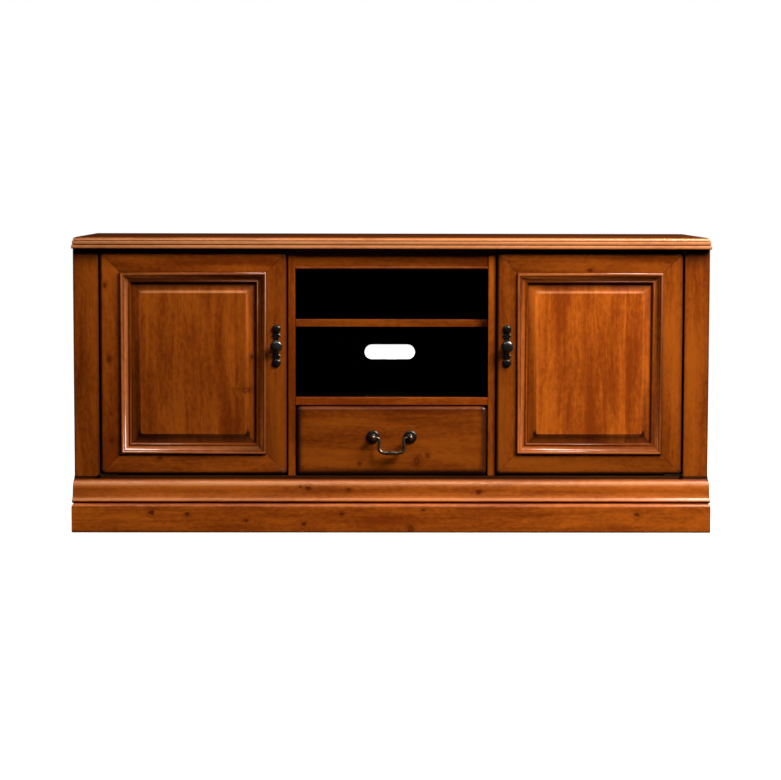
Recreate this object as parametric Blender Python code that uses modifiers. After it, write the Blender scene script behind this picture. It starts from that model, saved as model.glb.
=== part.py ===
"""Low media console in stained pine.

Two panelled doors stand either side of two open media bays and a drawer, under a moulded top and over a
moulded plinth. Metres, +Z up, the front faces -Y, the floor is z = 0 and the whole is centred on X and Y.
"""
import math

import bmesh
import bpy
from mathutils import Vector

X = Vector((1, 0, 0))
Y = Vector((0, 1, 0))
Z = Vector((0, 0, 1))

# Clearances
SEAT = 0.0003
DOOR_SIDE_GAP = 0.0035
DRAWER_SIDE_GAP = 0.002
DRAWER_TOP_GAP = 0.0025
DRAWER_BOTTOM_GAP = 0.003
RUNNER_CLEARANCE = 0.0005

# Case
CARCASS_WIDTH = 1.496
CARCASS_DEPTH = 0.450
OVERALL_HEIGHT = 0.695
SIDE_THICKNESS = 0.018
PARTITION_THICKNESS = 0.017
PARTITION_SETBACK = 0.004
BAY_WIDTH = 0.454
STILE_WIDTH = 0.059
FRAME_THICKNESS = 0.022
BOTTOM_THICKNESS = 0.018
BACK_THICKNESS = 0.008
BACK_INSET = 0.001
BOARD_EDGE_ROUND = 0.0015

# Top board: three moulded members, from the lowest to the highest
TOP_THICKNESS = 0.028
TOP_SIDE_OVERHANG = 0.002
TOP_FRONT_OVERHANG = 0.016
TOP_MEMBER_COUNT = 3
TOP_MEMBER_STEP = 0.0017
TOP_BEAD_DEPTH = 0.0008
TOP_QUIRK_DEPTH = 0.0024
TOP_QUIRK_HEIGHT = 0.0009
TOP_ROUND_REACH = 0.009

# Base moulding and plinth
PLINTH_HEIGHT = 0.069
PLINTH_PROJECTION = 0.030
PLINTH_THICKNESS = 0.030
PLINTH_SIDE_PROJECTION = 0.0045
PLINTH_SIDE_THICKNESS = 0.022
PLINTH_ROUND = 0.009
PLINTH_FOOT_ROUND = 0.002
LEDGE_PROJECTION = 0.0015
LEDGE_HEIGHT = 0.0065
BEAD_HEIGHT = 0.0245
BEAD_PROJECTION = 0.016
COVE_HEIGHT = 0.0237
COVE_PROJECTION = 0.0245
LIP_HEIGHT = 0.0045
LIP_PROJECTION = 0.0255
FOOT_FILLET_HEIGHT = 0.003
FOOT_FILLET_PROJECTION = 0.021

# Centre section
DRAWER_OPENING_HEIGHT = 0.1675
DECK_THICKNESS = 0.0184
DECK_SETBACK = 0.004
LOWER_BAY_HEIGHT = 0.1653
SHELF_THICKNESS = 0.0178
SHELF_SETBACK = 0.024
RAIL_HEIGHT = 0.0475
RAIL_SETBACK = 0.007
RAIL_BEAD_RADIUS = 0.0034
SLOT_WIDTH = 0.127
SLOT_HEIGHT = 0.037
SLOT_ABOVE_DECK = 0.079

# Cupboards
STOP_RAIL_HEIGHT = 0.027
CUPBOARD_SHELF_RISE = 0.262
CUPBOARD_SHELF_SETBACK = 0.045
CATCH_WIDTH = 0.046
CATCH_HEIGHT = 0.014
CATCH_DEPTH = 0.016
CATCH_SETBACK = 0.0018
CATCH_FROM_PARTITION = 0.020

# Doors
DOOR_THICKNESS = 0.022
DOOR_EDGE_ROUND = 0.006
DOOR_CORNER_RADIUS = 0.009
FRAME_SHOW = 0.0475
FRAME_COVERED = 0.010
PANEL_GROOVE_DEPTH = 0.008
PANEL_GROOVE_WIDTH = 0.008
PANEL_GROOVE_FRONT = 0.0105
MOULDING_WIDTH = 0.026
MOULDING_BEAD_RADIUS = 0.0036
MOULDING_BEAD_HEIGHT = 0.006
MOULDING_COVE_RADIUS = 0.0115
MOULDING_INNER_BEAD = 0.0018
PANEL_EDGE_ROOM = 0.0005
PANEL_BEVEL_WIDTH = 0.014
PANEL_BEVEL_RISE = 0.0058
PANEL_SHOULDER_WIDTH = 0.0064
PANEL_SHOULDER_RISE = 0.0041
PANEL_EASE_WIDTH = 0.0012
PANEL_EASE_RISE = 0.0003

# Pivot hinges, one at the top and one at the bottom of each door
LEAF_THICKNESS = 0.002
TOP_LEAF_THICKNESS = 0.0034
LEAF_LENGTH = 0.042
LEAF_BACK = 0.020
LEAF_INSET = 0.0015
LEAF_STILE_ROOM = 0.001
EYE_RADIUS = 0.004
EYE_ROOM = 0.0005
PIN_RADIUS = 0.0015
PIN_CLEARANCE = 0.00025

# Door knobs
KNOB_ABOVE_DOOR_FOOT = 0.3026
KNOB_PROJECTION = 0.024
KNOB_RADIUS = 0.0145
KNOB_DOME_RISE = 0.0065
KNOB_BACK_RISE = 0.0036
KNOB_STEM_RADIUS = 0.0055
KNOB_STEM_RISE = 0.007
KNOB_FOOT_RADIUS = 0.0088
KNOB_FOOT_RISE = 0.0015
PLATE_LENGTH = 0.100
PLATE_THICKNESS = 0.0025
PLATE_DISC_RADIUS = 0.0125
PLATE_NECK_HALF = 0.0056
PLATE_LOBE_HALF = 0.0105
PLATE_LOBE_AT = 0.0245
PLATE_FINIAL_RADIUS = 0.0102

# Drawer
DRAWER_FRONT_THICKNESS = 0.020
DRAWER_EDGE_ROUND = 0.009
DRAWER_CORNER_RADIUS = 0.011
DRAWER_REAR_ROOM = 0.0407
DRAWER_BOX_HEIGHT = 0.130
DRAWER_BOX_RAISE = 0.006
DRAWER_WALL = 0.014
DRAWER_BACK_THICKNESS = 0.012
DRAWER_SIDE_ROOM = 0.004
DRAWER_BOTTOM_THICKNESS = 0.006
DRAWER_BOTTOM_RAISE = 0.010
DRAWER_BOTTOM_GROOVE = 0.006
RUNNER_HEIGHT = 0.018
RUNNER_REAR_SHORT = 0.010
RUNNER_RAISE = 0.050
RUNNER_BITE = 0.007

# Bail pull
PULL_SPACING = 0.088
PULL_ABOVE_DRAWER_FOOT = 0.0895
ROSETTE_RADIUS = 0.0158
ROSETTE_CROWN_RADIUS = 0.0096
ROSETTE_RISE = 0.005
ROSETTE_RIM_RISE = 0.0036
POST_STEM_RADIUS = 0.0042
POST_BALL_RADIUS = 0.0068
POST_NECK = 0.001
PULL_STAND_OFF = 0.017
BAIL_END_RADIUS = 0.0026
BAIL_GRIP_RADIUS = 0.0046
BAIL_MIDDLE_RADIUS = 0.0051
BAIL_BITE = 0.0035
BAIL_SHOULDER = 0.0103
BAIL_ELBOW_DROP = 0.0044
BAIL_ELBOW_INSET = 0.0011
BAIL_HALF_WIDTH = 0.030
BAIL_DROP = 0.036
BAIL_CORNER = 0.013

# Smoothness of rounded work
ARC_STEPS = 5
OUTLINE_STEPS = 3
BAIL_STEPS = 4
EDGE_STEPS = 2
CORNER_STEPS = 3
TURN_STEPS = 20
PIN_SIDES = 16
RECTANGLE_CORNERS = 4
ROUND_BEVEL = 0.5
SMOOTH_ANGLE = math.radians(35)
WELD = 0.00001

# Places that follow from the sizes
FRONT_REACH = max(KNOB_PROJECTION, PULL_STAND_OFF + POST_BALL_RADIUS, PLINTH_PROJECTION, TOP_FRONT_OVERHANG)
FACE_Y = FRONT_REACH - (CARCASS_DEPTH + FRONT_REACH) / 2
REAR_Y = FACE_Y + CARCASS_DEPTH
BACK_FRONT_Y = REAR_Y - BACK_INSET - BACK_THICKNESS
CASE_HALF = CARCASS_WIDTH / 2
SIDE_INNER = CASE_HALF - SIDE_THICKNESS
BAY_HALF = BAY_WIDTH / 2
PARTITION_OUTER = BAY_HALF + PARTITION_THICKNESS
STILE_INNER = CASE_HALF - STILE_WIDTH
CASE_TOP = OVERALL_HEIGHT - TOP_THICKNESS
CASE_FOOT = PLINTH_HEIGHT + SEAT
BASE_TOP = CASE_FOOT + FOOT_FILLET_HEIGHT + LIP_HEIGHT + COVE_HEIGHT + BEAD_HEIGHT + LEDGE_HEIGHT
BEHIND_FRAME_Y = FACE_Y + FRAME_THICKNESS + SEAT
BEHIND_DOOR_Y = FACE_Y + max(FRAME_THICKNESS, DOOR_THICKNESS) + SEAT
DECK_BOTTOM = BASE_TOP + DRAWER_OPENING_HEIGHT
DECK_TOP = DECK_BOTTOM + DECK_THICKNESS
SHELF_BOTTOM = DECK_TOP + LOWER_BAY_HEIGHT
SHELF_TOP = SHELF_BOTTOM + SHELF_THICKNESS

DOOR_LOW = BASE_TOP + 2 * LEAF_THICKNESS + 3 * SEAT
DOOR_HIGH = CASE_TOP - 2 * TOP_LEAF_THICKNESS - 3 * SEAT
DOOR_HINGE_EDGE = STILE_INNER - DOOR_SIDE_GAP
DOOR_LOCK_EDGE = PARTITION_OUTER + DOOR_SIDE_GAP
DOOR_WIDTH = DOOR_HINGE_EDGE - DOOR_LOCK_EDGE
DOOR_TALL = DOOR_HIGH - DOOR_LOW
FRAME_WIDTH = FRAME_SHOW + FRAME_COVERED
PIVOT_X = STILE_INNER - DOOR_SIDE_GAP / 2
PIVOT_IN_FRONT = EYE_RADIUS + EYE_ROOM
PIVOT_Y = FACE_Y - PIVOT_IN_FRONT
KNOB_HEIGHT = DOOR_LOW + KNOB_ABOVE_DOOR_FOOT

DRAWER_HALF = BAY_HALF - DRAWER_SIDE_GAP
DRAWER_LOW = BASE_TOP + DRAWER_BOTTOM_GAP
DRAWER_HIGH = DECK_BOTTOM - DRAWER_TOP_GAP
DRAWER_BOX_OUTER = BAY_HALF - DRAWER_SIDE_ROOM
DRAWER_BOX_INNER = DRAWER_BOX_OUTER - DRAWER_WALL
DRAWER_BOX_LOW = DRAWER_LOW + DRAWER_BOX_RAISE
DRAWER_BOX_FRONT = FACE_Y + DRAWER_FRONT_THICKNESS + SEAT
DRAWER_BOX_REAR = BACK_FRONT_Y - DRAWER_REAR_ROOM
DRAWER_BOX_LENGTH = DRAWER_BOX_REAR - DRAWER_BOX_FRONT
PULL_Y = FACE_Y - PULL_STAND_OFF
PULL_HEIGHT = DRAWER_LOW + PULL_ABOVE_DRAWER_FOOT


def clear_scene():
    for obj in list(bpy.data.objects):
        bpy.data.objects.remove(obj, do_unlink=True)


def new_collection(name):
    collection = bpy.data.collections.new(name)
    bpy.context.scene.collection.children.link(collection)
    return collection


def new_material(name, color, roughness, metallic=0.0):
    material = bpy.data.materials.new(name)
    material.use_nodes = True
    shader = material.node_tree.nodes["Principled BSDF"]
    shader.inputs["Base Color"].default_value = (*color, 1.0)
    shader.inputs["Roughness"].default_value = roughness
    shader.inputs["Metallic"].default_value = metallic
    return material


clear_scene()
PARTS = new_collection("media_console")
CUTTERS = new_collection("media_console_cutters")

STAINED_PINE = new_material("stained_pine", (0.30, 0.10, 0.02), 0.35)
INNER_PINE = new_material("inner_pine", (0.16, 0.06, 0.02), 0.55)
DRAWER_PINE = new_material("drawer_pine", (0.45, 0.25, 0.10), 0.60)
BACK_BOARD = new_material("back_board", (0.12, 0.05, 0.02), 0.65)
DARK_BRONZE = new_material("dark_bronze", (0.05, 0.04, 0.03), 0.40, 0.9)
HINGE_BRASS = new_material("hinge_brass", (0.20, 0.14, 0.06), 0.40, 1.0)
CATCH_CASE = new_material("catch_case", (0.10, 0.06, 0.04), 0.50)


def world_location(obj):
    place = Vector()
    while obj:
        place += obj.location
        obj = obj.parent
    return place


def place(obj, location, parent):
    obj.location = Vector(location)
    if parent:
        obj.location -= world_location(parent)
        obj.parent = parent


def add_axis(name, location, parent=None):
    axis = bpy.data.objects.new(name, None)
    PARTS.objects.link(axis)
    place(axis, location, parent)
    return axis


def add_part(name, data, location, material, parent=None):
    obj = bpy.data.objects.new(name, data)
    PARTS.objects.link(obj)
    data.materials.append(material)
    place(obj, location, parent)
    return obj


def add_cutter(name, data, location):
    cutter = bpy.data.objects.new(name, data)
    CUTTERS.objects.link(cutter)
    cutter.location = location
    cutter.hide_render = True
    cutter.display_type = "WIRE"
    return cutter


def mesh_from(name, bm):
    bmesh.ops.recalc_face_normals(bm, faces=bm.faces)
    mesh = bpy.data.meshes.new(name)
    bm.to_mesh(mesh)
    bm.free()
    return mesh


def soften(obj, width):
    bevel = obj.modifiers.new("rounded_edges", "BEVEL")
    bevel.width = width
    bevel.segments = EDGE_STEPS
    bevel.limit_method = "ANGLE"


def smooth(obj):
    obj.data.shade_smooth()
    obj.data.set_sharp_from_angle(angle=SMOOTH_ANGLE)


def boolean(obj, cutter, operation):
    modifier = obj.modifiers.new(cutter.name, "BOOLEAN")
    modifier.operation = operation
    modifier.object = cutter
    modifier.solver = "EXACT"


def arc(centre, radii, start_deg, end_deg, steps=ARC_STEPS):
    points = []
    for step in range(steps + 1):
        angle = math.radians(start_deg + (end_deg - start_deg) * step / steps)
        across = centre[0] + radii[0] * math.cos(angle)
        up = centre[1] + radii[1] * math.sin(angle)
        points.append((across, up))
    return points


def board(name, low, high, material, parent=None, edge=0.0):
    """A plain board between two corners, with rounded edges where edge is given."""
    low = Vector(low)
    high = Vector(high)
    bm = bmesh.new()
    bmesh.ops.create_cube(bm, size=1.0)
    bmesh.ops.scale(bm, vec=high - low, verts=bm.verts)
    obj = add_part(name, mesh_from(name, bm), (low + high) / 2, material, parent)
    if edge:
        soften(obj, edge)
    return obj


def strip(name, profile, start, directions, length, mitre, material, parent=None, corner=0.0):
    """Run a closed profile of (out, rise) points along a line; each end grows by mitre times out.

    With a corner radius, each end of a frame member also turns half of the frame's rounded corner.
    """
    along, out, rise = directions
    turns = CORNER_STEPS if corner else 0
    bm = bmesh.new()
    face = bm.faces.new([bm.verts.new(out * o + rise * r) for o, r in profile])
    near_cap = face
    for section in range(2 * turns + 1):
        grown = bmesh.ops.extrude_face_region(bm, geom=[face])["geom"]
        if section:
            bmesh.ops.delete(bm, geom=[face], context="FACES_ONLY")
        face = [item for item in grown if isinstance(item, bmesh.types.BMFace)][0]
        bmesh.ops.translate(bm, vec=along, verts=face.verts)
    bm.normal_update()
    bmesh.ops.triangulate(bm, faces=[near_cap, face])
    for vert in bm.verts:
        section = round(vert.co.dot(along))
        reach = vert.co.dot(out)
        near = section <= turns
        step = turns - section if near else section - turns - 1
        inset = -mitre[0 if near else 1] * reach
        if corner and reach < corner:
            angle = math.pi / 4 * step / turns
            inset = corner - (corner - reach) * math.sin(angle)
            vert.co += out * (corner - (corner - reach) * math.cos(angle) - reach)
        vert.co += along * ((inset if near else length - inset) - section)
    bmesh.ops.remove_doubles(bm, verts=bm.verts, dist=WELD)
    obj = add_part(name, mesh_from(name, bm), start, material, parent)
    smooth(obj)
    return obj


def ring(name, profile, width, tall, centre, material, parent):
    """Run a closed profile of (inward, proud) points round an upright rectangle, mitred at its corners."""
    half = min(width, tall) / 2
    bm = bmesh.new()
    loop = [bm.verts.new((half - inward, -proud, half - inward)) for inward, proud in profile]
    for vert, other in zip(loop, loop[1:] + loop[:1]):
        bm.edges.new((vert, other))
    bmesh.ops.spin(bm, geom=bm.verts[:] + bm.edges[:], axis=Y, cent=Vector(), angle=math.tau,
                   steps=RECTANGLE_CORNERS, use_merge=True)
    for vert in bm.verts:
        vert.co.x += math.copysign(width / 2 - half, vert.co.x)
        vert.co.z += math.copysign(tall / 2 - half, vert.co.z)
    obj = add_part(name, mesh_from(name, bm), centre, material, parent)
    smooth(obj)
    return obj


def turned(name, profile, location, material, parent):
    """Turn a profile of (radius, height) points, tip first, about an axis that points out of the front."""
    mesh = bpy.data.meshes.new(name)
    edges = [(index, index + 1) for index in range(len(profile) - 1)]
    mesh.from_pydata([(radius, 0.0, height) for radius, height in profile], edges, [])
    obj = add_part(name, mesh, location, material, parent)
    obj.rotation_euler = (math.pi / 2, 0, 0)
    screw = obj.modifiers.new("turning", "SCREW")
    screw.steps = TURN_STEPS
    screw.render_steps = TURN_STEPS
    screw.use_merge_vertices = True
    screw.merge_threshold = WELD
    screw.use_smooth_shade = True
    return obj


def flat_curve(name, outlines, thickness, smooth_outline=False):
    """A flat plate from closed outlines: the first is its edge, any others are holes."""
    curve = bpy.data.curves.new(name, "CURVE")
    curve.dimensions = "2D"
    curve.fill_mode = "BOTH"
    curve.extrude = thickness / 2
    curve.render_resolution_u = 0
    for outline in outlines:
        if smooth_outline:
            spline = curve.splines.new("BEZIER")
            spline.bezier_points.add(len(outline) - 1)
            for point, (across, up) in zip(spline.bezier_points, outline):
                point.co = (across, up, 0)
                point.handle_left_type = "AUTO"
                point.handle_right_type = "AUTO"
            spline.resolution_u = OUTLINE_STEPS
        else:
            spline = curve.splines.new("POLY")
            spline.points.add(len(outline) - 1)
            for point, (across, up) in zip(spline.points, outline):
                point.co = (across, up, 0, 1)
        spline.use_cyclic_u = True
    return curve


def curve_to_mesh(obj):
    """Replace a curve object by a welded mesh object of the same name and place."""
    bpy.context.view_layer.update()
    evaluated = obj.evaluated_get(bpy.context.evaluated_depsgraph_get())
    mesh = bpy.data.meshes.new_from_object(evaluated)
    bm = bmesh.new()
    bm.from_mesh(mesh)
    bmesh.ops.remove_doubles(bm, verts=bm.verts, dist=WELD)
    bmesh.ops.recalc_face_normals(bm, faces=bm.faces)
    bm.to_mesh(mesh)
    bm.free()
    name = obj.name
    solid = bpy.data.objects.new(name, mesh)
    solid.location = obj.location
    solid.parent = obj.parent
    curve = obj.data
    bpy.data.objects.remove(obj, do_unlink=True)
    bpy.data.curves.remove(curve)
    solid.name = name
    PARTS.objects.link(solid)
    return solid


def cylinder(name, radius, length):
    bm = bmesh.new()
    bmesh.ops.create_cone(bm, cap_ends=True, segments=PIN_SIDES, radius1=radius, radius2=radius, depth=length)
    return mesh_from(name, bm)


def top_edge_levels():
    """Heights and insets of the top's moulded edge: two beads under a quarter round, parted by quirks."""
    member_height = TOP_THICKNESS / TOP_MEMBER_COUNT
    levels = []
    for member in range(TOP_MEMBER_COUNT):
        foot = member * member_height
        reach = member * TOP_MEMBER_STEP
        if member:
            levels.append((foot, reach + TOP_QUIRK_DEPTH))
            levels.append((foot + TOP_QUIRK_HEIGHT, reach + TOP_QUIRK_DEPTH))
            foot += TOP_QUIRK_HEIGHT
            member_rise = member_height - TOP_QUIRK_HEIGHT
        else:
            member_rise = member_height
        highest = member == TOP_MEMBER_COUNT - 1
        for step in range(ARC_STEPS + 2):
            part = step / (ARC_STEPS + 1)
            if highest:
                inset = TOP_ROUND_REACH * (1 - math.sqrt(1 - part ** 2))
            else:
                inset = TOP_BEAD_DEPTH * (2 * part - 1) ** 2
            levels.append((foot + member_rise * part, reach + inset))
    return levels


def make_top():
    """The board grows upwards level by level, each level inset on the front and both sides."""
    half = CASE_HALF + TOP_SIDE_OVERHANG
    front = FACE_Y - TOP_FRONT_OVERHANG
    levels = top_edge_levels()
    bm = bmesh.new()
    face = bm.faces.new([bm.verts.new(corner) for corner in
                         ((-half, front, 0), (half, front, 0), (half, REAR_Y, 0), (-half, REAR_Y, 0))])
    for order, (rise, inset) in enumerate(levels):
        if order:
            grown = bmesh.ops.extrude_face_region(bm, geom=[face])["geom"]
            if order > 1:
                bmesh.ops.delete(bm, geom=[face], context="FACES_ONLY")
            face = [item for item in grown if isinstance(item, bmesh.types.BMFace)][0]
        for vert in face.verts:
            vert.co.x = math.copysign(half - inset, vert.co.x)
            vert.co.z = rise
            if vert.co.y < REAR_Y - CARCASS_DEPTH / 2:
                vert.co.y = front + inset
    top = add_part("top_board", mesh_from("top_board", bm), (0, 0, CASE_TOP), STAINED_PINE)
    smooth(top)


def make_case():
    for side, word in ((-1, "left"), (1, "right")):
        make_side_boards(side, word)
    board("bottom_panel", (-SIDE_INNER + SEAT, BEHIND_FRAME_Y, BASE_TOP - BOTTOM_THICKNESS),
          (SIDE_INNER - SEAT, BACK_FRONT_Y - SEAT, BASE_TOP), INNER_PINE)
    board("front_bottom_rail", (-STILE_INNER + SEAT, FACE_Y, CASE_FOOT),
          (STILE_INNER - SEAT, FACE_Y + FRAME_THICKNESS, BASE_TOP), STAINED_PINE)
    board("drawer_deck", (-BAY_HALF + SEAT, FACE_Y + DECK_SETBACK, DECK_BOTTOM),
          (BAY_HALF - SEAT, BACK_FRONT_Y - SEAT, DECK_TOP), STAINED_PINE, edge=BOARD_EDGE_ROUND)
    board("centre_shelf", (-BAY_HALF + SEAT, FACE_Y + SHELF_SETBACK, SHELF_BOTTOM),
          (BAY_HALF - SEAT, BACK_FRONT_Y - SEAT, SHELF_TOP), STAINED_PINE, edge=BOARD_EDGE_ROUND)
    make_centre_rail()
    make_back()


def mirrored_board(name, side, near, far, y_range, z_range, material, edge=0.0):
    """A board between two distances from the middle, on the side that the sign gives."""
    low_x, high_x = sorted((side * near, side * far))
    return board(name, (low_x, y_range[0], z_range[0]), (high_x, y_range[1], z_range[1]), material, edge=edge)


def make_side_boards(side, word):
    inside_rear = BACK_FRONT_Y - SEAT
    standing = (CASE_FOOT, CASE_TOP - SEAT)
    mirrored_board(f"{word}_side_panel", side, SIDE_INNER, CASE_HALF, (BEHIND_FRAME_Y, REAR_Y), standing,
                   STAINED_PINE)
    mirrored_board(f"{word}_face_stile", side, STILE_INNER, CASE_HALF, (FACE_Y, FACE_Y + FRAME_THICKNESS),
                   standing, STAINED_PINE, edge=BOARD_EDGE_ROUND)
    mirrored_board(f"{word}_partition", side, BAY_HALF, PARTITION_OUTER,
                   (FACE_Y + PARTITION_SETBACK, inside_rear),
                   (BASE_TOP + SEAT, CASE_TOP - SEAT), STAINED_PINE, edge=BOARD_EDGE_ROUND)
    cupboard = (PARTITION_OUTER + SEAT, SIDE_INNER - SEAT)
    stop_rail_low = CASE_TOP - SEAT - STOP_RAIL_HEIGHT
    mirrored_board(f"{word}_stop_rail", side, *cupboard, (BEHIND_DOOR_Y, BEHIND_DOOR_Y + FRAME_THICKNESS),
                   (stop_rail_low, CASE_TOP - SEAT), INNER_PINE)
    shelf_low = BASE_TOP + CUPBOARD_SHELF_RISE
    mirrored_board(f"{word}_cupboard_shelf", side, *cupboard, (FACE_Y + CUPBOARD_SHELF_SETBACK, inside_rear),
                   (shelf_low, shelf_low + SHELF_THICKNESS), INNER_PINE)
    catch_near = PARTITION_OUTER + CATCH_FROM_PARTITION
    catch_front = FACE_Y + DOOR_THICKNESS + CATCH_SETBACK
    mirrored_board(f"{word}_door_catch", side, catch_near, catch_near + CATCH_WIDTH,
                   (catch_front, catch_front + CATCH_DEPTH),
                   (stop_rail_low - SEAT - CATCH_HEIGHT, stop_rail_low - SEAT), CATCH_CASE)


def make_centre_rail():
    """The rail over the open bays stands back from the partitions and carries a bead on its lower edge."""
    bead = arc((0.0, RAIL_BEAD_RADIUS), (RAIL_BEAD_RADIUS, RAIL_BEAD_RADIUS), -90, 90)
    rail_rise = RAIL_HEIGHT - SEAT
    profile = bead + [(0.0, rail_rise), (-FRAME_THICKNESS, rail_rise), (-FRAME_THICKNESS, 0.0)]
    start = (-BAY_HALF + SEAT, FACE_Y + RAIL_SETBACK, CASE_TOP - RAIL_HEIGHT)
    strip("centre_top_rail", profile, start, (X, -Y, Z), BAY_WIDTH - 2 * SEAT, (0, 0), STAINED_PINE)


def make_back():
    """The back panel stands between the sides; a round-ended slot lets cables out of the lower bay."""
    back = board("back_panel", (-SIDE_INNER + SEAT, BACK_FRONT_Y, CASE_FOOT),
                 (SIDE_INNER - SEAT, BACK_FRONT_Y + BACK_THICKNESS, CASE_TOP - SEAT), BACK_BOARD)
    radius = SLOT_HEIGHT / 2
    flat_half = SLOT_WIDTH / 2 - radius
    outline = arc((flat_half, 0), (radius, radius), -90, 90, 2 * ARC_STEPS)
    outline += arc((-flat_half, 0), (radius, radius), 90, 270, 2 * ARC_STEPS)
    bm = bmesh.new()
    face = bm.faces.new([bm.verts.new((across, -BACK_THICKNESS, up)) for across, up in outline])
    grown = bmesh.ops.extrude_face_region(bm, geom=[face])["geom"]
    bmesh.ops.translate(bm, vec=Y * 2 * BACK_THICKNESS,
                        verts=[item for item in grown if isinstance(item, bmesh.types.BMVert)])
    middle = (0, BACK_FRONT_Y + BACK_THICKNESS / 2, DECK_TOP + SLOT_ABOVE_DECK)
    boolean(back, add_cutter("cable_slot_cutter", mesh_from("cable_slot_cutter", bm), middle), "DIFFERENCE")


def base_profile():
    """Section of the base moulding from its ledge down: fillet, bead, cove, lip and foot fillet."""
    foot = CASE_FOOT
    ledge_low = BASE_TOP - LEDGE_HEIGHT
    bead_low = ledge_low - BEAD_HEIGHT
    cove_low = bead_low - COVE_HEIGHT
    lip_low = cove_low - LIP_HEIGHT
    bead_reach = BEAD_PROJECTION - LEDGE_PROJECTION
    cove_reach = COVE_PROJECTION - BEAD_PROJECTION
    profile = [(0.0, BASE_TOP), (LEDGE_PROJECTION, BASE_TOP)]
    profile += arc((LEDGE_PROJECTION, bead_low), (bead_reach, BEAD_HEIGHT), 90, 0)
    profile += arc((COVE_PROJECTION, bead_low), (cove_reach, COVE_HEIGHT), 180, 270)[1:]
    lip_round = LIP_HEIGHT / 2
    profile += arc((LIP_PROJECTION - lip_round, cove_low - lip_round), (lip_round, lip_round), 60, -90)
    profile += [(FOOT_FILLET_PROJECTION, lip_low), (FOOT_FILLET_PROJECTION, foot), (0.0, foot)]
    return profile


def plinth_profile():
    """Section of the plinth board, measured out from the face of the case."""
    inner = PLINTH_PROJECTION - PLINTH_THICKNESS
    foot_round = PLINTH_FOOT_ROUND
    top_round = PLINTH_ROUND
    profile = [(inner, 0.0)]
    profile += arc((PLINTH_PROJECTION - foot_round, foot_round), (foot_round, foot_round), -90, 0, EDGE_STEPS)
    profile += arc((PLINTH_PROJECTION - top_round, PLINTH_HEIGHT - top_round), (top_round, top_round), 0, 90)
    profile += [(inner, PLINTH_HEIGHT)]
    return profile


def make_base():
    """Mouldings and plinth boards turn the corner on a mitre; the side returns are the shallower ones."""
    side_share = PLINTH_SIDE_PROJECTION / PLINTH_PROJECTION
    moulding = base_profile()
    strip("base_moulding_front", moulding, (-CASE_HALF, FACE_Y - SEAT, 0), (X, -Y, Z), CARCASS_WIDTH,
          (side_share, side_share), STAINED_PINE)
    return_moulding = [(out * side_share, rise) for out, rise in moulding]
    for side, word in ((-1, "left"), (1, "right")):
        strip(f"base_moulding_{word}", return_moulding, (side * (CASE_HALF + SEAT), FACE_Y, 0),
              (Y, X * side, Z), CARCASS_DEPTH, (1 / side_share, 0), STAINED_PINE)

    plinth = plinth_profile()
    plinth_share = PLINTH_SIDE_THICKNESS / PLINTH_THICKNESS
    corner = CASE_HALF + PLINTH_SIDE_PROJECTION - PLINTH_PROJECTION * plinth_share - SEAT
    strip("plinth_front", plinth, (-corner, FACE_Y, 0), (X, -Y, Z), 2 * corner,
          (plinth_share, plinth_share), STAINED_PINE)
    side_plinth = []
    for out, rise in plinth:
        side_plinth.append((PLINTH_SIDE_PROJECTION - (PLINTH_PROJECTION - out) * plinth_share, rise))
    turn = FACE_Y - PLINTH_PROJECTION + PLINTH_SIDE_PROJECTION / plinth_share
    for side, word in ((-1, "left"), (1, "right")):
        strip(f"plinth_{word}", side_plinth, (side * CASE_HALF, turn, 0), (Y, X * side, Z), REAR_Y - turn,
              (1 / plinth_share, 0), STAINED_PINE)
    between = CASE_HALF + PLINTH_SIDE_PROJECTION - PLINTH_SIDE_THICKNESS - SEAT
    board("plinth_rear", (-between, REAR_Y - PLINTH_SIDE_THICKNESS, 0), (between, REAR_Y, PLINTH_HEIGHT),
          INNER_PINE)


def frame_profile():
    """Section of a door frame member: inward from the outer edge, and back from the door's front."""
    groove_rear = PANEL_GROOVE_FRONT + PANEL_GROOVE_WIDTH
    groove_floor = FRAME_WIDTH - PANEL_GROOVE_DEPTH
    profile = [(0.0, DOOR_THICKNESS)]
    profile += arc((DOOR_EDGE_ROUND, DOOR_EDGE_ROUND), (DOOR_EDGE_ROUND, DOOR_EDGE_ROUND), 180, 270)
    profile += [(FRAME_WIDTH, 0.0), (FRAME_WIDTH, PANEL_GROOVE_FRONT), (groove_floor, PANEL_GROOVE_FRONT)]
    profile += [(groove_floor, groove_rear), (FRAME_WIDTH, groove_rear), (FRAME_WIDTH, DOOR_THICKNESS)]
    return profile


def panel_moulding_profile():
    """Section of the bolection moulding: outer bead, cove, inner bead, and the rebate that laps the frame."""
    bead = MOULDING_BEAD_RADIUS
    spring = MOULDING_BEAD_HEIGHT - bead
    seat = SEAT - PANEL_GROOVE_FRONT
    inner_bead = MOULDING_INNER_BEAD
    profile = [(0.0, SEAT)]
    profile += arc((bead, spring), (bead, bead), 180, 0, 2 * ARC_STEPS)
    cove_start = 2 * bead + inner_bead / 2
    cove_end = cove_start + MOULDING_COVE_RADIUS
    profile += arc((cove_end, spring - inner_bead / 2 + MOULDING_COVE_RADIUS / 2),
                   (MOULDING_COVE_RADIUS, MOULDING_COVE_RADIUS), 200, 270)
    cove_floor = spring - inner_bead / 2 - MOULDING_COVE_RADIUS / 2
    profile += arc((cove_end + inner_bead, cove_floor), (inner_bead, inner_bead), 180, 20)
    profile += [(MOULDING_WIDTH, seat + inner_bead / 2), (MOULDING_WIDTH, seat)]
    profile += [(FRAME_COVERED + SEAT, seat), (FRAME_COVERED + SEAT, SEAT)]
    return profile


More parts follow.
